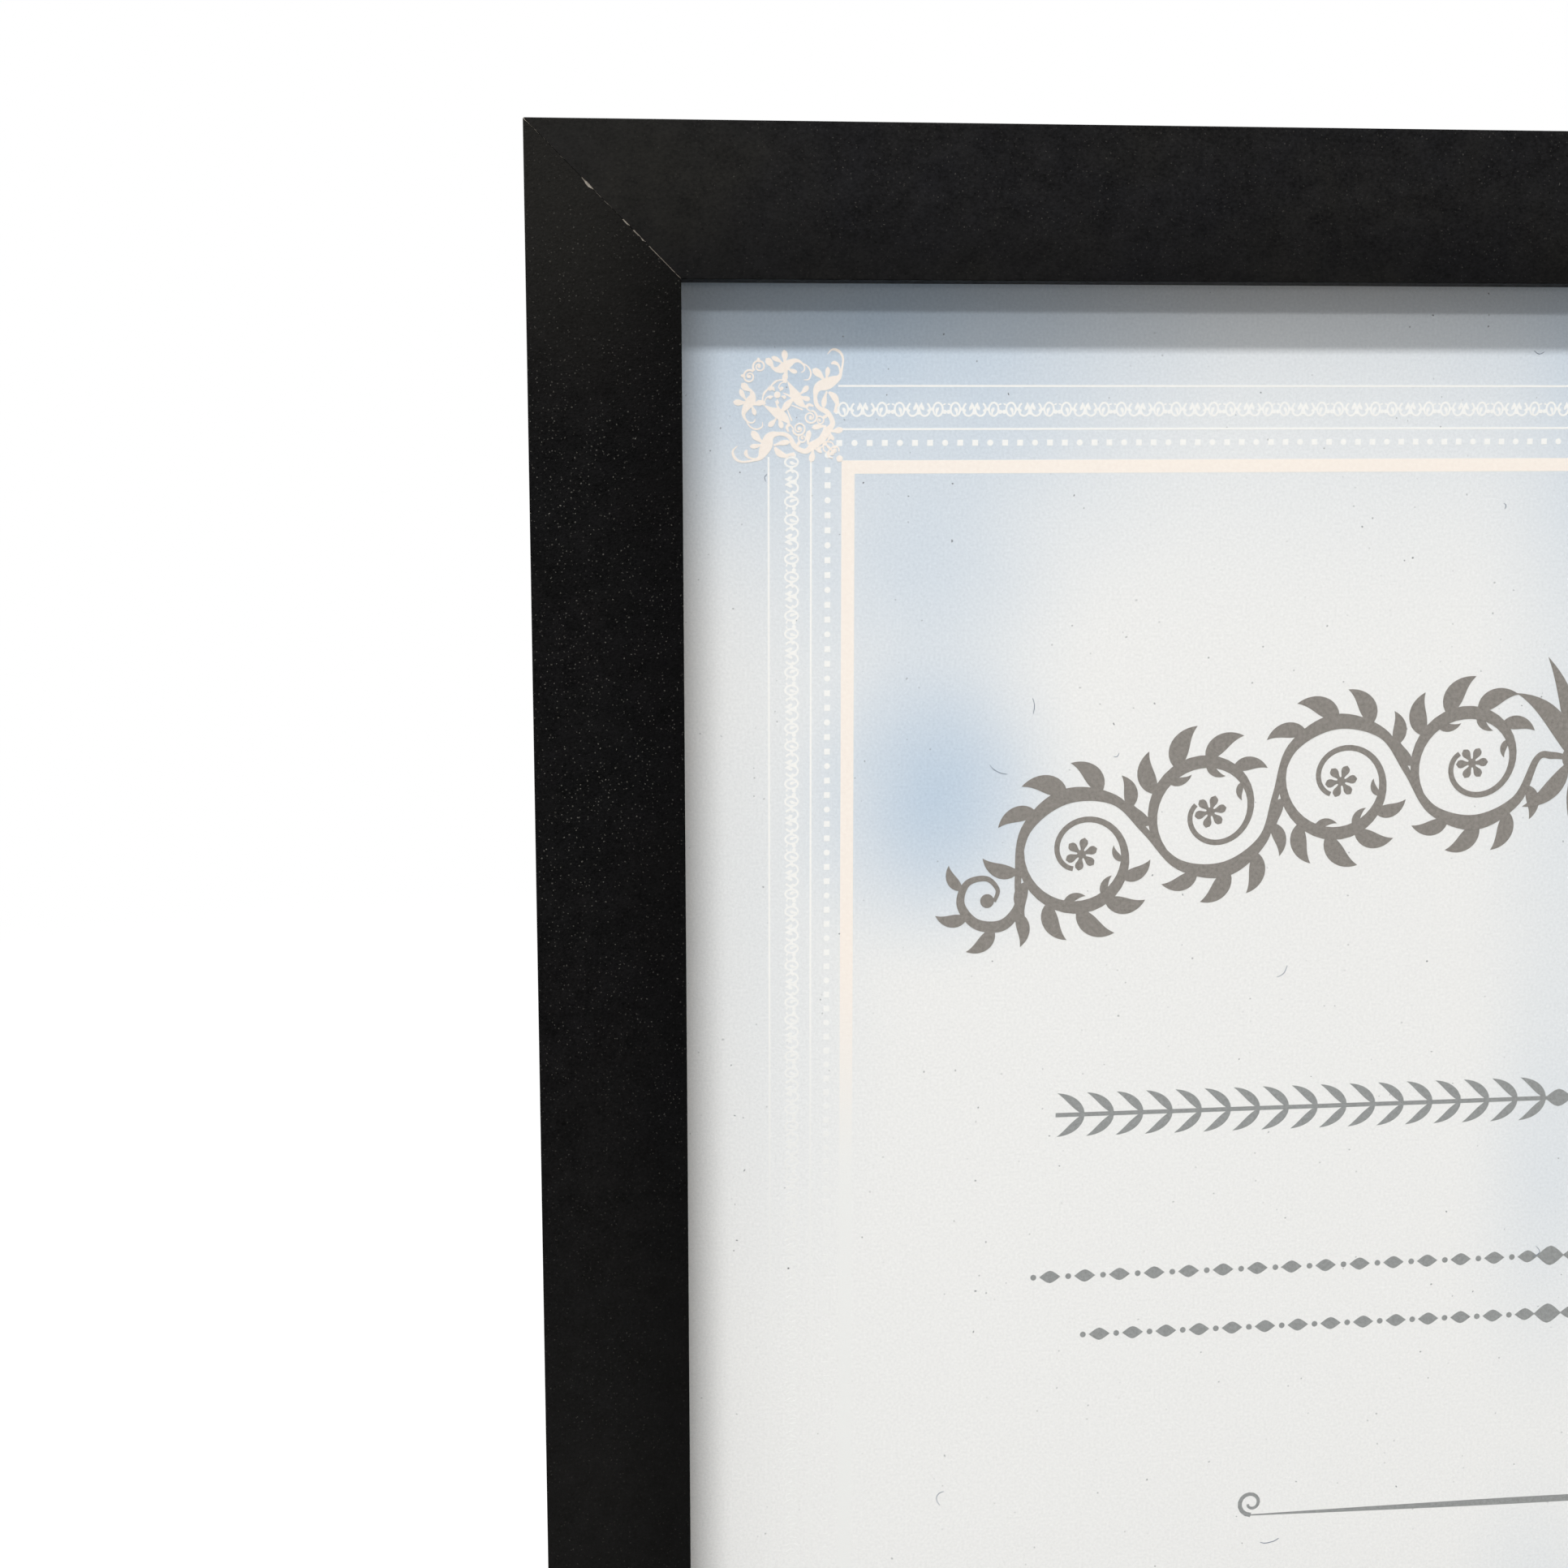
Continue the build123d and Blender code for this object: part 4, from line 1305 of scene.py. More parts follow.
@dataclass
class RunningVine:
    """The arched vine across the upper sheet: four scrolls to each side of a palmette.

    It is drawn straight, each scroll about its own middle, and then bent along the arch.
    """

    arch_radius: float = 172.0
    arch_top: float = 83.0
    scroll_middles: tuple[float, ...] = (12.5, 28.0, 43.5, 59.0)
    branch_steps: int = 44
    branch_start: float = -24
    branch_turn: float = 424
    branch_reach: float = 7.0
    branch_winding: float = 5.1
    winding_power: float = 1.15
    branch_width: float = 0.8
    branch_taper: float = 0.25
    swell: float = 0.75
    swell_place: float = 0.25
    swell_run: float = 0.17
    outer_lean: float = 22
    outer_bend: float = 78
    outer_leaves: tuple[tuple[float, ...], ...] = (
        (6, 6.9, 4.2, 1.5), (36, 6.6, 5.2, 1.9), (68, 6.2, 5.6, 2.1), (100, 5.8, 5.2, 1.9),
        (132, 5.3, 4.2, 1.5), (206, 7.2, 4.2, 1.5), (236, 7.1, 5.2, 1.9), (267, 6.9, 5.4, 2.0),
        (298, 6.9, 4.8, 1.7),
    )
    inner_lean: float = 172
    inner_bend: float = -84
    inner_leaves: tuple[tuple[float, ...], ...] = (
        (52, 6.4, 3.1, 0.95), (100, 5.8, 2.9, 0.9), (152, 5.0, 2.3, 0.75),
    )
    petals: int = 6
    petal_reach: Point = (0.3, 1.9)
    petal_width: float = 0.98
    flower_heart: float = 0.5
    stem_start: Drawn = ((1.0, 0.0, 0.5), (3.0, 0.3, 0.8))
    stem_arc: Drawn = ((-7.75, 0.0, 0.75), (-5.3, -4.7, 1.15), (-0.2, -6.9, 1.75), (5.0, -4.9, 1.15))
    stem_end: Drawn = (
        (66.75, 0.0, 0.75), (67.8, -2.8, 1.0), (70.4, -4.1, 1.3), (73.1, -2.7, 1.2), (73.8, 0.1, 0.95),
        (72.2, 2.0, 0.75), (70.0, 1.6, 0.6), (69.3, -0.1, 0.5), (70.2, -1.2, 0.4),
    )
    end_bud: Point = (70.9, -0.8)
    end_bud_radius: float = 0.8
    side_leaves: tuple[tuple[float, ...], ...] = (
        (66.4, 0.9, 12, 70, 4.6, 1.6), (68.4, -3.5, -108, 74, 4.2, 1.5), (71.6, -3.9, -52, 76, 4.4, 1.6),
        (73.7, -1.4, -8, 76, 3.9, 1.4), (72.9, 1.6, 52, 70, 3.4, 1.2), (1.0, 0.4, 76, -58, 10.0, 2.1),
        (0.6, 0.5, 88, -30, 11.7, 1.7), (1.2, -0.8, -70, 62, 7.4, 1.9),
    )
    middle_leaves: tuple[tuple[float, ...], ...] = (
        (0.0, 0.5, 90, 0, 12.8, 2.3), (0.0, -1.3, -90, 0, 8.0, 1.9),
    )
    palmette_heart: float = 1.75

    def scroll(self, plate: InkPlate) -> None:
        """Prints one scroll about its own middle: a winding branch, its leaves and its flower.

        Args:
            plate: The ink that takes it, set to the scroll's place.
        """
        def spot(angle: float, reach: float) -> Point:
            """Places a point of the scroll from its angle and its distance out."""
            return reach * math.cos(math.radians(angle)), reach * math.sin(math.radians(angle))
        branch = []
        for t in (k / self.branch_steps for k in range(self.branch_steps + 1)):
            swell = self.swell * math.exp(-((t - self.swell_place) / self.swell_run) ** 2)
            reach = self.branch_reach - self.branch_winding * t ** self.winding_power
            width = self.branch_width - self.branch_taper * t + swell
            branch.append((*spot(self.branch_start + self.branch_turn * t, reach), width))
        plate.strip(branch)
        for angle, reach, length, width in self.outer_leaves:
            plate.curl(spot(angle, reach), angle + self.outer_lean, self.outer_bend, length, width)
        for angle, reach, length, width in self.inner_leaves:
            plate.curl(spot(angle, reach), angle + self.inner_lean, self.inner_bend, length, width, 9)
        for angle in (360 / self.petals * k for k in range(self.petals)):
            near, far = (spot(angle, reach) for reach in self.petal_reach)
            plate.leaf(near, far, self.petal_width, 0.0, 6)
        plate.disc((0.0, 0.0), self.flower_heart, 12)

    def draw(self, plate: InkPlate) -> None:
        """Prints the whole vine.

        Args:
            plate: The ink that takes it.
        """
        for mirror in (1, -1):
            def arch(along: float, out: float, side: int = mirror) -> Point:
                """Bends a point of the straight vine along the arch."""
                reach, turn = self.arch_radius + out, along / self.arch_radius
                up = self.arch_top - self.arch_radius + reach * math.cos(turn)
                return side * reach * math.sin(turn), up
            stem = list(self.stem_start)
            for k, middle in enumerate(self.scroll_middles):
                way = 1 if k % 2 == 0 else -1
                plate.place = lambda along, out, m=middle, w=way: arch(m + along, w * out)
                self.scroll(plate)
                stem += [(middle + along, way * out, width) for along, out, width in self.stem_arc]
            plate.place = arch
            plate.stroke(stem + list(self.stem_end), 8)
            plate.disc(self.end_bud, self.end_bud_radius, 14)
            for across, up, *leaf in self.side_leaves:
                plate.curl((across, up), *leaf)
        for across, up, *leaf in self.middle_leaves:
            plate.curl((across, up), *leaf)
        plate.disc((0.0, 0.0), self.palmette_heart, 20)


class RowKind(Enum):
    """What a printed row repeats."""

    GARLAND = "garland"
    BEADS = "beads"


@dataclass(frozen=True)
class PrintedRow:
    """A row of repeats to both sides of the sheet's middle, in millimetres."""

    name: str
    kind: RowKind
    up: float
    reach: float
    pitch: float
    height: float


@dataclass
class CertificateSheet:
    """The sheet behind the glass: washed paper with a printed border, an arched vine and plain rules."""

    half_width: float
    half_height: float
    middle: float
    paper_front: float
    paper_back: float
    print_drop: float = -0.82
    outer_line: float = 14.72
    chain: float = 17.22
    inner_line: float = 19.34
    dot_rows: float = 20.82
    dot_columns: float = 21.16
    rule: float = 22.68
    rule_width: float = 1.44
    line_width: float = 0.21
    row_pitch: float = 1.646
    column_pitch: float = 1.62
    dot_size: float = 0.64
    chain_unit: float = 6.11
    ink_seat: float = 0.012
    paper_cells: tuple[int, int] = (54, 70)
    paper_crease: float = 40.0
    cockle: float = 0.009
    cockle_waves: tuple[Point, ...] = ((0.061, 0.023), (-0.017, 0.035))
    line_starts: Point = (0.4, -0.1)
    chain_start: float = 0.77
    row_start: float = 0.25
    column_start: float = 0.58
    dot_rise: float = 0.07
    chain_ink: float = 0.22
    drop_width: float = 0.36
    row_gap: float = 3.2
    rows: tuple[PrintedRow, ...] = (
        PrintedRow("garland_rule", RowKind.GARLAND, 42.6, 58.5, 3.4, 5.0),
        PrintedRow("upper_bead_rule", RowKind.BEADS, 23.2, 61.0, 3.9, 1.5),
        PrintedRow("lower_bead_rule", RowKind.BEADS, 16.0, 55.0, 3.9, 1.5),
        PrintedRow("third_bead_rule", RowKind.BEADS, -18.0, 38.0, 3.9, 1.5),
        PrintedRow("short_garland_rule", RowKind.GARLAND, -34.5, 40.0, 2.9, 4.0),
        PrintedRow("foot_bead_rule", RowKind.BEADS, -49.0, 56.0, 3.9, 1.5),
    )
    lozenge: float = 1.7
    lozenge_share: float = 0.62
    swelled_rule: Drawn = ((-36.0, -7.6, 0.15), (-18.0, -7.6, 0.595), (0.0, -7.6, 0.85), (18.0, -7.6, 0.595),
                           (36.0, -7.6, 0.15))
    rule_scroll: Point = (35.7, -6.1)
    writing_rule: Drawn = ((16.0, -92.0, 0.35), (68.0, -92.0, 0.35))
    lint_seed: int = 4711
    lint_thickness: float = 0.05
    lint_count: int = 36
    lint_area: Point = (100.0, 132.0)
    lint_bend: float = 0.9
    lint_bend_range: Point = (0.4, 1.4)
    lint_steps: Point = (0.16, 0.6)
    lint_widths: tuple[float, ...] = (0.03, 0.055, 0.06, 0.05, 0.03)

    def print_on(self, name: str, mesh: bpy.types.Mesh, ink: bpy.types.Material) -> bpy.types.Object:
        """Stands a flat print up on the paper.

        Args:
            name: The piece's name.
            mesh: The print, flat and facing up.
            ink: Its material.

        Returns:
            The piece.
        """
        depth, height = self.paper_front + self.ink_seat, self.middle + self.print_drop
        lift = Matrix.Translation((0.0, depth * MM, height * MM))
        mesh.transform(lift @ Matrix.Rotation(math.pi / 2, 4, "X"))
        mesh.materials.clear()
        mesh.materials.append(ink)
        return new_piece(name, mesh)

    def paper(self, material: bpy.types.Material) -> bpy.types.Object:
        """Builds the sheet with the faint cockle of paper held in a frame.

        Args:
            material: The washed paper.

        Returns:
            The sheet.
        """
        across, up = self.paper_cells
        work = bmesh.new()
        layers = []
        for depth in (self.paper_front, self.paper_back):
            grid = []
            for i in range(across + 1):
                for j in range(up + 1):
                    x, z = self.half_width * (2 * i / across - 1), self.half_height * (2 * j / up - 1)
                    edge = math.sin(math.pi * i / across) * math.sin(math.pi * j / up)
                    cockle = self.cockle * edge * sum(math.sin(a * x + b * z) for a, b in self.cockle_waves)
                    grid.append(work.verts.new(Vector((x, depth + cockle, z + self.middle)) * MM))
            layers.append(grid)
        width = up + 1
        for layer in layers:
            for i in range(across):
                for j in range(up):
                    k = i * width + j
                    work.faces.new((layer[k], layer[k + 1], layer[k + width + 1], layer[k + width]))
        rim = [i * width for i in range(across)] + [across * width + j for j in range(up)]
        rim += [i * width + up for i in range(across, 0, -1)] + list(range(up, 0, -1))
        for k, following in zip(rim, rim[1:] + rim[:1]):
            work.faces.new((layers[0][k], layers[0][following], layers[1][following], layers[1][k]))
        mesh = mesh_of(work, self.paper_crease)
        mesh.materials.append(material)
        piece = new_piece("washed_sheet", mesh)
        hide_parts("certificate_sheet")
        return piece

    def ring(self, inset: float, back_off: float) -> list[tuple[Point, Point]]:
        """Gives a border line's sides by their ends, clockwise from the top, backed off from the corners."""
        x, y = self.half_width - inset, self.half_height - inset
        return [((back_off - x, y), (x - back_off, y)), ((x, y - back_off), (x, back_off - y)),
                ((x - back_off, -y), (back_off - x, -y)), ((-x, back_off - y), (-x, y - back_off))]

    def broad_rule(self, ink: bpy.types.Material) -> bpy.types.Object:
        """Prints the broad rule round the sheet.

        Args:
            ink: The cream ink.

        Returns:
            The rule.
        """
        plate = InkPlate()
        inset = self.rule + self.rule_width / 2
        for k, (start, end) in enumerate(self.ring(inset, 0.0)):
            reach = self.rule_width / 2 * (1 if k % 2 == 0 else -1)
            run = (Vector(end) - Vector(start)).normalized() * reach
            first, last = Vector(start) - run, Vector(end) + run
            plate.strip([(first.x, first.y, self.rule_width), (last.x, last.y, self.rule_width)])
        return self.print_on("broad_rule", plate.mesh(), ink)

    def fine_lines(self, ink: bpy.types.Material) -> bpy.types.Object:
        """Prints the two fine lines, which stop at the corner ornaments.

        Args:
            ink: The white ink.

        Returns:
            The lines.
        """
        plate = InkPlate()
        for inset, start in zip((self.outer_line, self.inner_line), self.line_starts):
            for first, last in self.ring(inset, self.rule - inset - start):
                plate.strip([(*first, self.line_width), (*last, self.line_width)])
        return self.print_on("fine_lines", plate.mesh(), ink)

    def scroll_motif(self) -> bpy.types.Object:
        """Draws one repeat of the scroll chain: two rings that open upwards between two closed ones.

        Returns:
            A hidden object for the row tree.
        """
        plate = InkPlate()
        end = self.chain_unit / 2
        for side in (-1, 1):
            plate.place = lambda across, up, s=side: (s * across, up)
            plate.oval((2.118, 0.0), 0.53, 0.72, 250, -360, self.chain_ink)
            plate.leaf((1.96, -0.6), (2.19, 0.22), self.drop_width, 0.12, 5)
            plate.oval((0.66, 0.0), 0.58, 0.72, 62, -300, self.chain_ink)
            plate.leaf((0.3, 0.72), (0.58, -0.12), self.drop_width, -0.08, 5)
            plate.disc((1.483, 0.02), 0.2, 6)
            plate.disc((1.1, -0.14), 0.18, 6)
            plate.leaf((end - 0.46, 0.44), (end - 0.06, 0.62), 0.2, 0.0, 3)
            plate.disc((end - 0.2, -0.27), 0.25, 6)
        plate.disc((0.0, -0.36), 0.24, 6)
        return self.motif(plate)

    @staticmethod
    def motif(plate: InkPlate) -> bpy.types.Object:
        """Keeps a drawn repeat aside for a row tree, as an object outside the scene."""
        return bpy.data.objects.new("motif", plate.mesh())

    def chain_and_dots(self, trees: RowTree, ink: bpy.types.Material) -> list[bpy.types.Object]:
        """Prints the scroll chain and the row of dots.

        Args:
            trees: The row trees.
            ink: The white ink.

        Returns:
            The chain, the dots in the rows and the dots in the columns.
        """
        inset = self.rule - self.chain - self.chain_start + self.chain_unit / 2
        chain = trees.run(trees.motifs, self.ring(self.chain, inset),
                          {"Pitch": self.chain_unit * MM, "Motif": self.scroll_motif(), "Ink": ink})
        rows = self.ring(self.dot_rows, self.rule - self.dot_rows - self.row_start)[::2]
        sides = self.ring(self.dot_columns, self.rule - self.dot_columns - self.column_start)
        pieces = [self.print_on("scroll_chain", chain, ink)]
        for name, edges, pitch in (("dot_rows", rows, self.row_pitch),
                                   ("dot_columns", [sides[1][::-1], sides[3]], self.column_pitch)):
            dots = trees.run(trees.dots, edges, {"Pitch": pitch * MM, "Dot": self.dot_size * MM,
                                                 "Rise": self.dot_rise * MM, "Ink": ink})
            pieces.append(self.print_on(name, dots, ink))
        return pieces

    def arabesques(self, ink: bpy.types.Material) -> bpy.types.Object:
        """Prints the four corner ornaments.

        Args:
            ink: The cream ink.

        Returns:
            The ornaments.
        """
        plate = InkPlate()
        ornament = CornerArabesque()
        x, y = self.half_width - self.rule, self.half_height - self.rule
        for corner in Corner:
            side, top = corner.value
            ornament.draw(plate, lambda out, up, s=side, t=top: (s * (x + out), t * (y + up)))
        return self.print_on("corner_arabesques", plate.mesh(), ink)

    def vine(self, ink: bpy.types.Material) -> bpy.types.Object:
        """Prints a running vine, arched across the upper sheet.

        Args:
            ink: The grey ink.

        Returns:
            The vine.
        """
        plate = InkPlate()
        RunningVine().draw(plate)
        return self.print_on("heading_vine", plate.mesh(), ink)

    def garland_motif(self, length: float, height: float) -> bpy.types.Object:
        """Draws one repeat of a garland: a stem with a leaf to each side.

        Args:
            length: Length of a repeat.
            height: Height across both leaves.

        Returns:
            A hidden object for the row tree.
        """
        plate = InkPlate()
        plate.strip([(-0.5 * length, 0.0, 0.1 * height), (0.52 * length, 0.0, 0.1 * height)])
        for side in (-1, 1):
            plate.curl((-0.46 * length, 0.0), side * 56, side * -38, 1.22 * length, 0.19 * height, 8)
        return self.motif(plate)

    def bead_motif(self, length: float, height: float) -> bpy.types.Object:
        """Draws one repeat of a bead rule: a lens and a bead.

        Args:
            length: Length of a repeat.
            height: Height of the lens.

        Returns:
            A hidden object for the row tree.
        """
        plate = InkPlate()
        plate.stroke(((-0.42 * length, 0.0, 0.0), (-0.1 * length, 0.0, height), (0.22 * length, 0.0, 0.0)), 4)
        plate.disc((0.4 * length, 0.0), 0.24 * height, 8)
        return self.motif(plate)

    def fibres(self, ink: bpy.types.Material) -> bpy.types.Object:
        """Lays stray lint fibres on the paper, the same ones each time.

        Args:
            ink: The colour of the lint.

        Returns:
            The fibres.
        """
        chance = random.Random(self.lint_seed)
        plate = InkPlate(self.lint_thickness)
        side, top = self.lint_area
        for _ in range(self.lint_count):
            x, y = chance.uniform(-side, side), chance.uniform(-top, top)
            turn = chance.uniform(0.0, FULL_TURN)
            bend = chance.uniform(-self.lint_bend, self.lint_bend)
            step = chance.uniform(*self.lint_steps)
            line = []
            for width in self.lint_widths:
                line.append((x, y, width))
                x, y = x + step * math.cos(turn), y + step * math.sin(turn)
                turn += bend * chance.uniform(*self.lint_bend_range)
            plate.stroke(line, 4)
        return self.print_on("stray_fibres", plate.mesh(), ink)

    def plain_rules(self, trees: RowTree, ink: bpy.types.Material) -> list[bpy.types.Object]:
        """Prints garlands, bead rules and blank writing rules below the vine.

        Args:
            trees: The row trees.
            ink: The grey ink.

        Returns:
            The rows and the rules.
        """
        pieces = []
        plate = InkPlate()
        for row in self.rows:
            draw = self.garland_motif if row.kind is RowKind.GARLAND else self.bead_motif
            edges = [((side * self.row_gap, row.up), (side * row.reach, row.up)) for side in (1, -1)]
            mesh = trees.run(trees.motifs, edges, {"Pitch": row.pitch * MM, "Ink": ink,
                                                   "Motif": draw(row.pitch, row.height)})
            pieces.append(self.print_on(row.name, mesh, ink))
            plate.stroke(((-self.lozenge, row.up, 0.0), (0.0, row.up, row.pitch * self.lozenge_share),
                          (self.lozenge, row.up, 0.0)), 4)
        plate.stroke(self.swelled_rule, 6)
        across, up = self.rule_scroll
        for side in (-1, 1):
            plate.spiral((side * across, up), 1.5, 0.4, side * 1.2, -90, 0.55, 18)
        for side in (-1, 1):
            plate.strip([(side * x, y, width) for x, y, width in self.writing_rule])
        return pieces + [self.print_on("writing_rules", plate.mesh(), ink)]


@dataclass
class BackHardware:
    """The pieces behind the sheet, which keep their solids and get their finishes."""

    effects: Effects

    def dress(self, nodes: dict[str, bpy.types.Object]) -> None:
        """Gives each solid its finish.

        Args:
            nodes: The solids by name.
        """
        zinc = MetalFinish("zinc_plate", tone(198, 201, 204), tone(168, 172, 177), tone(226, 228, 230),
                           stretch=(1.0, 1.0, 0.15)).build(self.effects)
        nickel = MetalFinish("nickel_plate", tone(205, 200, 190), tone(176, 170, 160), tone(232, 229, 222),
                             roughness=(0.32, 0.48), stretch=(0.15, 1.0, 1.0)).build(self.effects)
        painted = MetalFinish("black_enamel", tone(20, 20, 21), tone(30, 30, 31), tone(150, 150, 150),
                              metallic=0.0, roughness=(0.3, 0.44), gloss=0.4,
                              wear_radius=0.00035).build(self.effects)
        board = BoardFinish("brown_hardboard", tone(150, 116, 82), tone(112, 82, 55), tone(82, 58, 38),
                            stretch=(1.0, 1.0, 0.45)).build(self.effects)
        card = BoardFinish("fluted_card", tone(188, 156, 116), tone(160, 128, 92), tone(134, 104, 72),
                           stretch=(0.2, 1.0, 1.0)).build(self.effects)
        # The wrap's pale specks are a dusting of settled specks and painted glints.
        wrap = FoilFinish("black_paper_wrap", deep=tone(22, 22, 23), worn=tone(40, 39, 38),
                          cool=tone(36, 36, 38), dust_and_glint_tone=tone(120, 117, 110), roughness=(0.62, 0.8), gloss=0.25,
                          grain_scale=2400.0, relief=0.00008, speck_cell_scale=520.0, speck_cell_share=0.4,
                          glint_and_dust=0.15).build(self.effects)
        glass = GlassFinish().build(self.effects)
        finishes = {"glass_pane": glass, "filler_card": card, "backing_board": board, "easel_leg": wrap}
        for name, node in nodes.items():
            if name.startswith("turn_button_") and name != "turn_button_screws":
                finish = painted
            elif "hinge" in name:
                finish = nickel
            else:
                finish = finishes.get(name, zinc)
            node.data.materials.clear()
            node.data.materials.append(finish)
            log.info("%s: %s", name, finish.name)


@dataclass(frozen=True)
class Lamp:
    """A long lamp: its middle and its length and height in metres, and its power in watts."""

    name: str
    place: tuple[float, float, float]
    size: Point
    power: float


@dataclass
class Studio:
    """A pale floor, two long overhead lamps in front, a soft lamp behind and the camera."""

    eye: tuple[float, float, float] = (-121.10, -254.22, 272.81)
    forward: tuple[float, float, float] = (0.1136, 0.9808, -0.1585)
    up: tuple[float, float, float] = (0.0188, 0.1573, 0.9874)
    focal_length: float = 54.04
    sensor: float = 36.0
    nearest: float = 0.01
    ambient: float = 0.465
    floor_half: float = 6.0
    floor_grey: Colour = (0.28, 0.28, 0.28, 1.0)
    floor_roughness: float = 0.85
    floor_gloss: float = 0.1
    floor_lift: float = 0.8
    floor_fade: Point = (0.5, 1.1)
    aim_height: float = 0.22
    lamps: tuple[Lamp, ...] = (
        Lamp("key_strip", (-0.66, -1.99, 1.8), (1.2, 0.16), 45.2),
        Lamp("low_strip", (-0.66, -2.36, 1.04), (1.2, 0.1), 12.5),
        Lamp("back_soft", (0.45, 1.72, 1.82), (1.8, 1.2), 30.0),
    )

    @staticmethod
    def seen(tree: bpy.types.NodeTree) -> bpy.types.NodeSocket:
        """Tells rays that see a place, straight, mirrored or through glass, from those that light it.

        Args:
            tree: The tree of the floor or of the room.

        Returns:
            1 for a ray that sees and 0 for one that lights.
        """
        ray = put(tree, "ShaderNodeLightPath")
        straight = reckon(tree, "MAXIMUM", ray.outputs["Is Camera Ray"], ray.outputs["Is Glossy Ray"])
        return reckon(tree, "MAXIMUM", straight, ray.outputs["Is Transmission Ray"])

    def floor(self) -> None:
        """Lays the floor, which fades into the white room away from the frame and keeps its shadow."""
        mesh = bpy.data.meshes.new("floor")
        half = self.floor_half
        corners = [(-half, -half, 0), (half, -half, 0), (half, half, 0), (-half, half, 0)]
        mesh.from_pydata(corners, [], [(0, 1, 2, 3)])
        floor = bpy.data.objects.new("floor", mesh)
        bpy.context.scene.collection.objects.link(floor)
        pale = bpy.data.materials.new("pale_floor")
        pale.use_nodes = True
        tree = pale.node_tree
        shader = tree.nodes["Principled BSDF"]
        feed(tree, shader, {"Base Color": self.floor_grey, "Roughness": self.floor_roughness,
                            "Specular IOR Level": self.floor_gloss})
        shown = self.seen(tree)
        lift = put(tree, "ShaderNodeEmission", {1: reckon(tree, "MULTIPLY", shown, self.floor_lift)})
        near = put(tree, "ShaderNodeAddShader", {0: shader.outputs[0], 1: lift.outputs[0]})
        spot = put(tree, "ShaderNodeTexCoord")
        away = put(tree, "ShaderNodeVectorMath", {0: spot.outputs["Object"]}, operation="LENGTH")
        far = remap(tree, away.outputs["Value"], 0.0, 1.0, *self.floor_fade, smooth=True)
        white = put(tree, "ShaderNodeEmission", {1: 1.0})
        mixed = put(tree, "ShaderNodeMixShader",
                    {0: reckon(tree, "MULTIPLY", far, shown), 1: near.outputs[0], 2: white.outputs[0]})
        tree.links.new(mixed.outputs[0], tree.nodes["Material Output"].inputs[0])
        mesh.materials.append(pale)

    def hang(self, lamp: Lamp) -> None:
        """Hangs one lamp, level from end to end, that faces the frame.

        Args:
            lamp: The lamp.
        """
        light = bpy.data.lights.new(lamp.name, "AREA")
        light.shape = "RECTANGLE"
        light.size, light.size_y = lamp.size
        light.energy = lamp.power
        piece = bpy.data.objects.new(lamp.name, light)
        piece.location = lamp.place
        piece.rotation_euler = (math.atan2(-lamp.place[1], lamp.place[2] - self.aim_height), 0.0, 0.0)
        bpy.context.scene.collection.objects.link(piece)

    def world(self) -> None:
        """Makes the room: white where it is seen or mirrored, soft where it lights."""
        world = bpy.data.worlds.new("room")
        bpy.context.scene.world = world
        world.use_nodes = True
        tree = world.node_tree
        tree.nodes.clear()
        plain = (1.0, 1.0, 1.0, 1.0)
        soft, white = (put(tree, "ShaderNodeBackground", {"Color": plain, "Strength": strength})
                       for strength in (self.ambient, 1.0))
        mixed = put(tree, "ShaderNodeMixShader",
                    {0: self.seen(tree), 1: soft.outputs[0], 2: white.outputs[0]})
        out = put(tree, "ShaderNodeOutputWorld")
        tree.links.new(mixed.outputs[0], out.inputs[0])

    def camera(self) -> None:
        """Stands the camera where the photograph was taken."""
        lens = bpy.data.cameras.new("camera")
        lens.lens, lens.sensor_width = self.focal_length, self.sensor
        lens.clip_start = self.nearest
        camera = bpy.data.objects.new("camera", lens)
        back = -Vector(self.forward).normalized()
        right = Vector(self.up).cross(back).normalized()
        turn = Matrix((right, back.cross(right), back)).transposed().to_4x4()
        camera.matrix_world = Matrix.Translation(Vector(self.eye) * MM) @ turn
        bpy.context.scene.collection.objects.link(camera)
        bpy.context.scene.camera = camera

    def build(self) -> None:
        """Sets the whole studio up."""
        self.floor()
        self.world()
        for lamp in self.lamps:
            self.hang(lamp)
        self.camera()
        bpy.context.scene.view_settings.view_transform = "Standard"


def in_mm(node: str) -> tuple[Vector, Vector]:
    """Gives the low and the high corner of a solid's box in millimetres."""
    low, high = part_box(node)
    return low / MM, high / MM


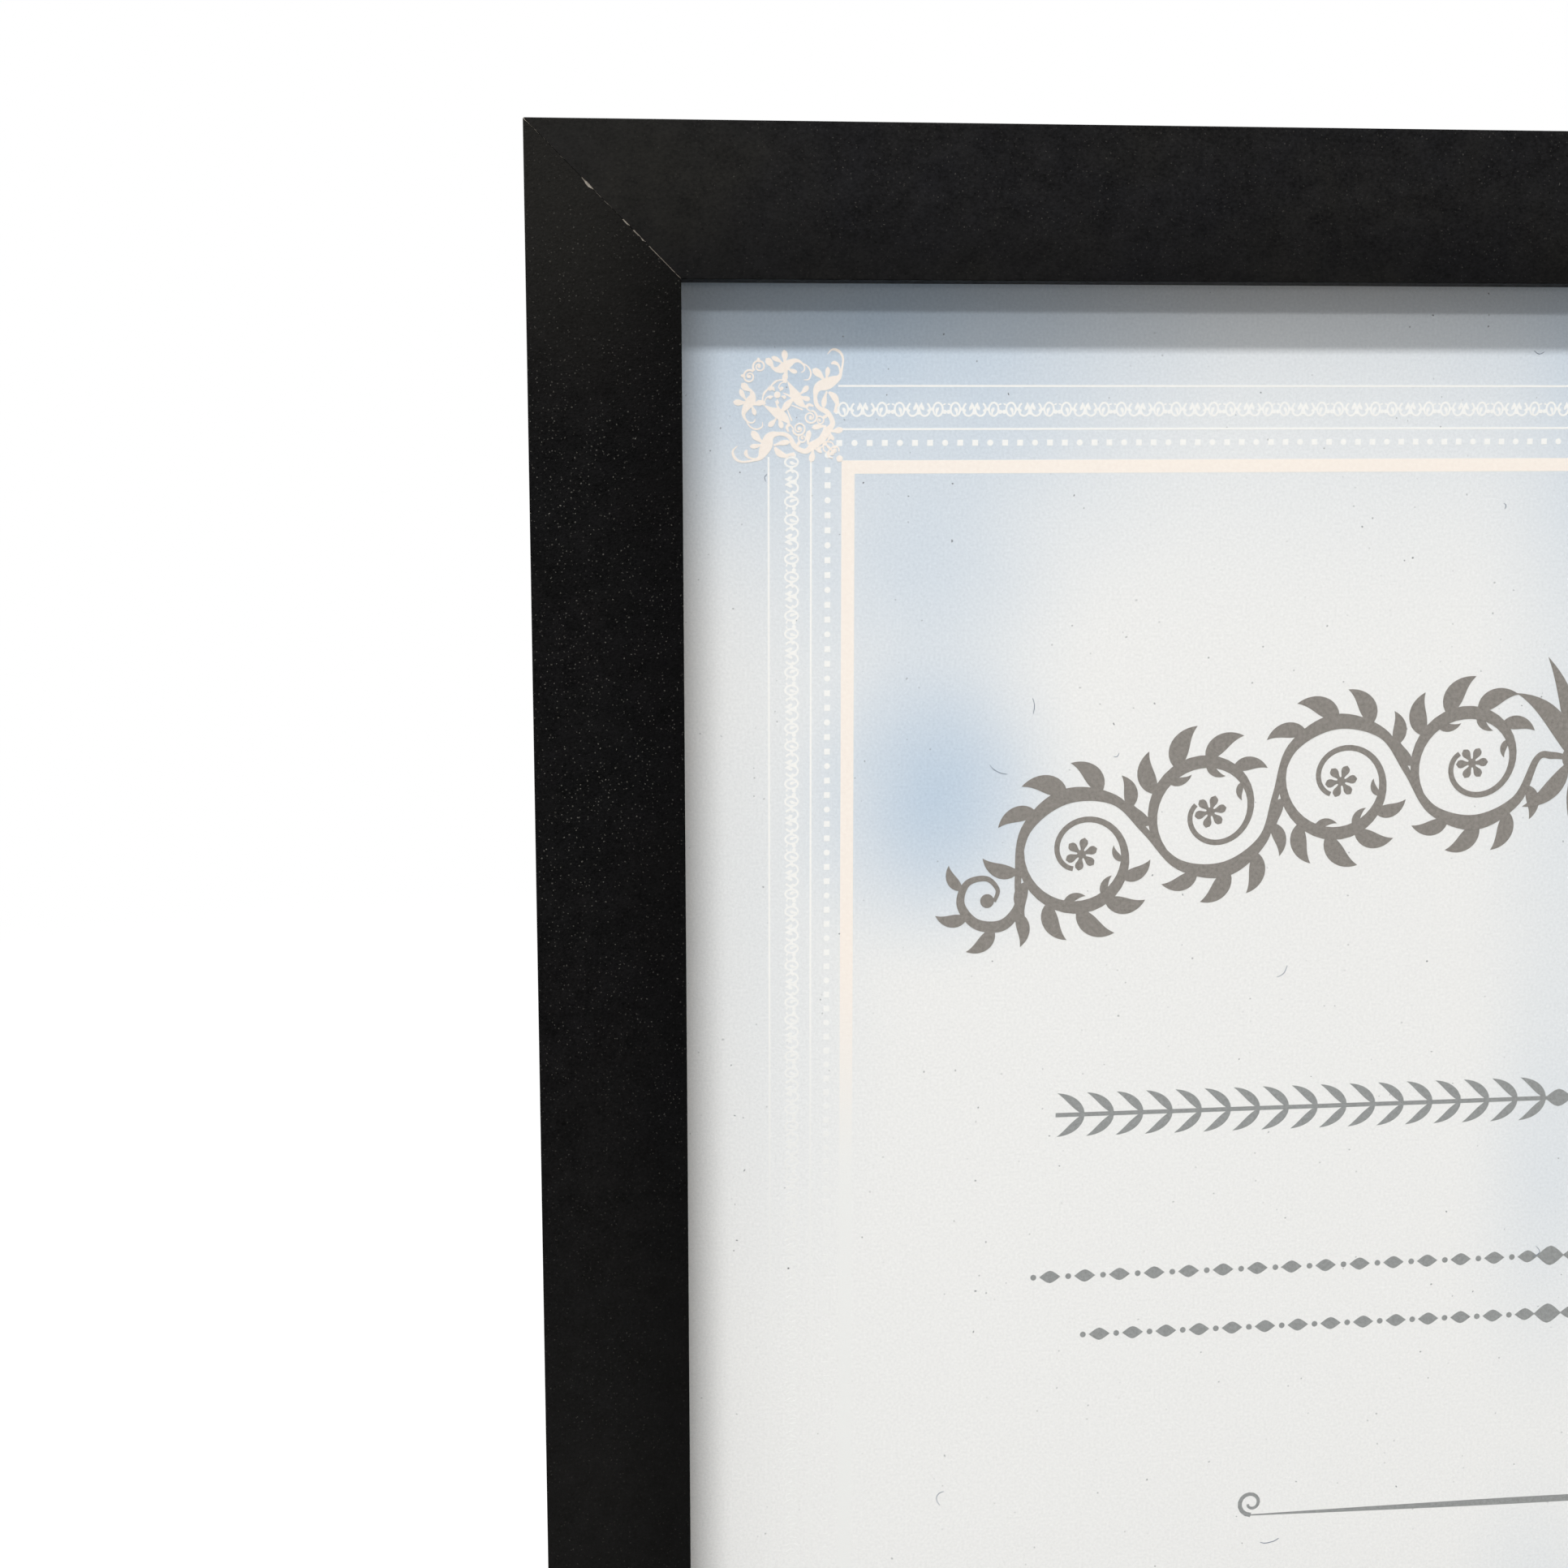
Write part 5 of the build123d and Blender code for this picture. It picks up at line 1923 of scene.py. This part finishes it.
def dress_rails(effects: Effects) -> None:
    """Builds the four rails.

    Args:
        effects: The shared node groups.
    """
    low, high = in_mm("top_rail")
    glass_low, _ = in_mm("glass_pane")
    _, board_high = in_mm("backing_board")
    moulding = Moulding(half_width=high.x, height=high.z, face_width=high.z - low.z, front=low.y, back=high.y,
                        lip_back=glass_low.y, back_width=high.x - board_high.x - BOARD_PLAY)
    # Two copies of one foil. The level rails' copy is lighter, which is painted sheen, and the uprights' copy
    # is darker, which is painted shade. Both also carry painted glints and painted sheen at the corners.
    level = FoilFinish("black_foil_level", stretch=(0.8, 1.0, 1.0), glint_and_dust=0.05, corner_sheen=0.5,
                       half_width=high.x, half_height=high.z / 2).build(effects)
    upright = FoilFinish("black_foil_upright", deep=tone(3, 3, 3), worn=tone(24, 23, 23),
                         cool=tone(21, 21, 22), gloss=0.02, relief=0.00005, speck_cell_share=1.0, glint_and_dust=0.17,
                         corner_sheen=0.85, half_width=high.x, half_height=high.z / 2).build(effects)
    core = BoardFinish("bare_core", tone(176, 169, 158), tone(122, 114, 105), tone(92, 85, 77),
                       fibre_scale=2600.0).build(effects)
    raw = BoardFinish("raw_fibreboard", tone(176, 146, 110), tone(142, 112, 80),
                      tone(104, 78, 54)).build(effects)
    for side in Side:
        moulding.rail(side, (upright if side.upright else level, core, raw))


def print_sheet(effects: Effects) -> None:
    """Builds the sheet and prints it.

    Args:
        effects: The shared node groups.
    """
    low, high = in_mm("certificate_sheet")
    sheet = CertificateSheet(half_width=high.x, half_height=(high.z - low.z) / 2, middle=(high.z + low.z) / 2,
                             paper_front=low.y + INK_ROOM, paper_back=high.y - BACK_ROOM)
    cream = InkFinish("cream_ink", tone(250, 239.5, 230), tone(244, 232, 222), fades=True).build(effects)
    white = InkFinish("white_ink", tone(248, 245, 241), tone(240, 239, 237), fades=True).build(effects)
    grey = InkFinish("grey_ink", tone(120, 114, 108), tone(144, 138, 132)).build(effects)
    pale_grey = InkFinish("pale_grey_ink", tone(130, 131, 130), tone(154, 155, 154)).build(effects)
    lint = InkFinish("lint_grey", tone(128, 138, 156), tone(96, 104, 120)).build(effects)
    trees = RowTree()
    sheet.paper(PaperFinish().build(effects))
    sheet.broad_rule(cream)
    sheet.fine_lines(white)
    sheet.chain_and_dots(trees, white)
    sheet.arabesques(cream)
    sheet.vine(grey)
    sheet.plain_rules(trees, pale_grey)
    sheet.fibres(lint)


def main() -> None:
    """Dresses the frame, piece by piece, and sets up its studio."""
    logging.basicConfig(level=logging.INFO, format="%(message)s")
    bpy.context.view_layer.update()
    effects = Effects()
    dress_rails(effects)
    print_sheet(effects)
    BackHardware(effects).dress({name: node for name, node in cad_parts.items()
                                 if not name.endswith("_rail") and name != "certificate_sheet"})
    Studio().build()


if __name__ == "__main__":
    main()
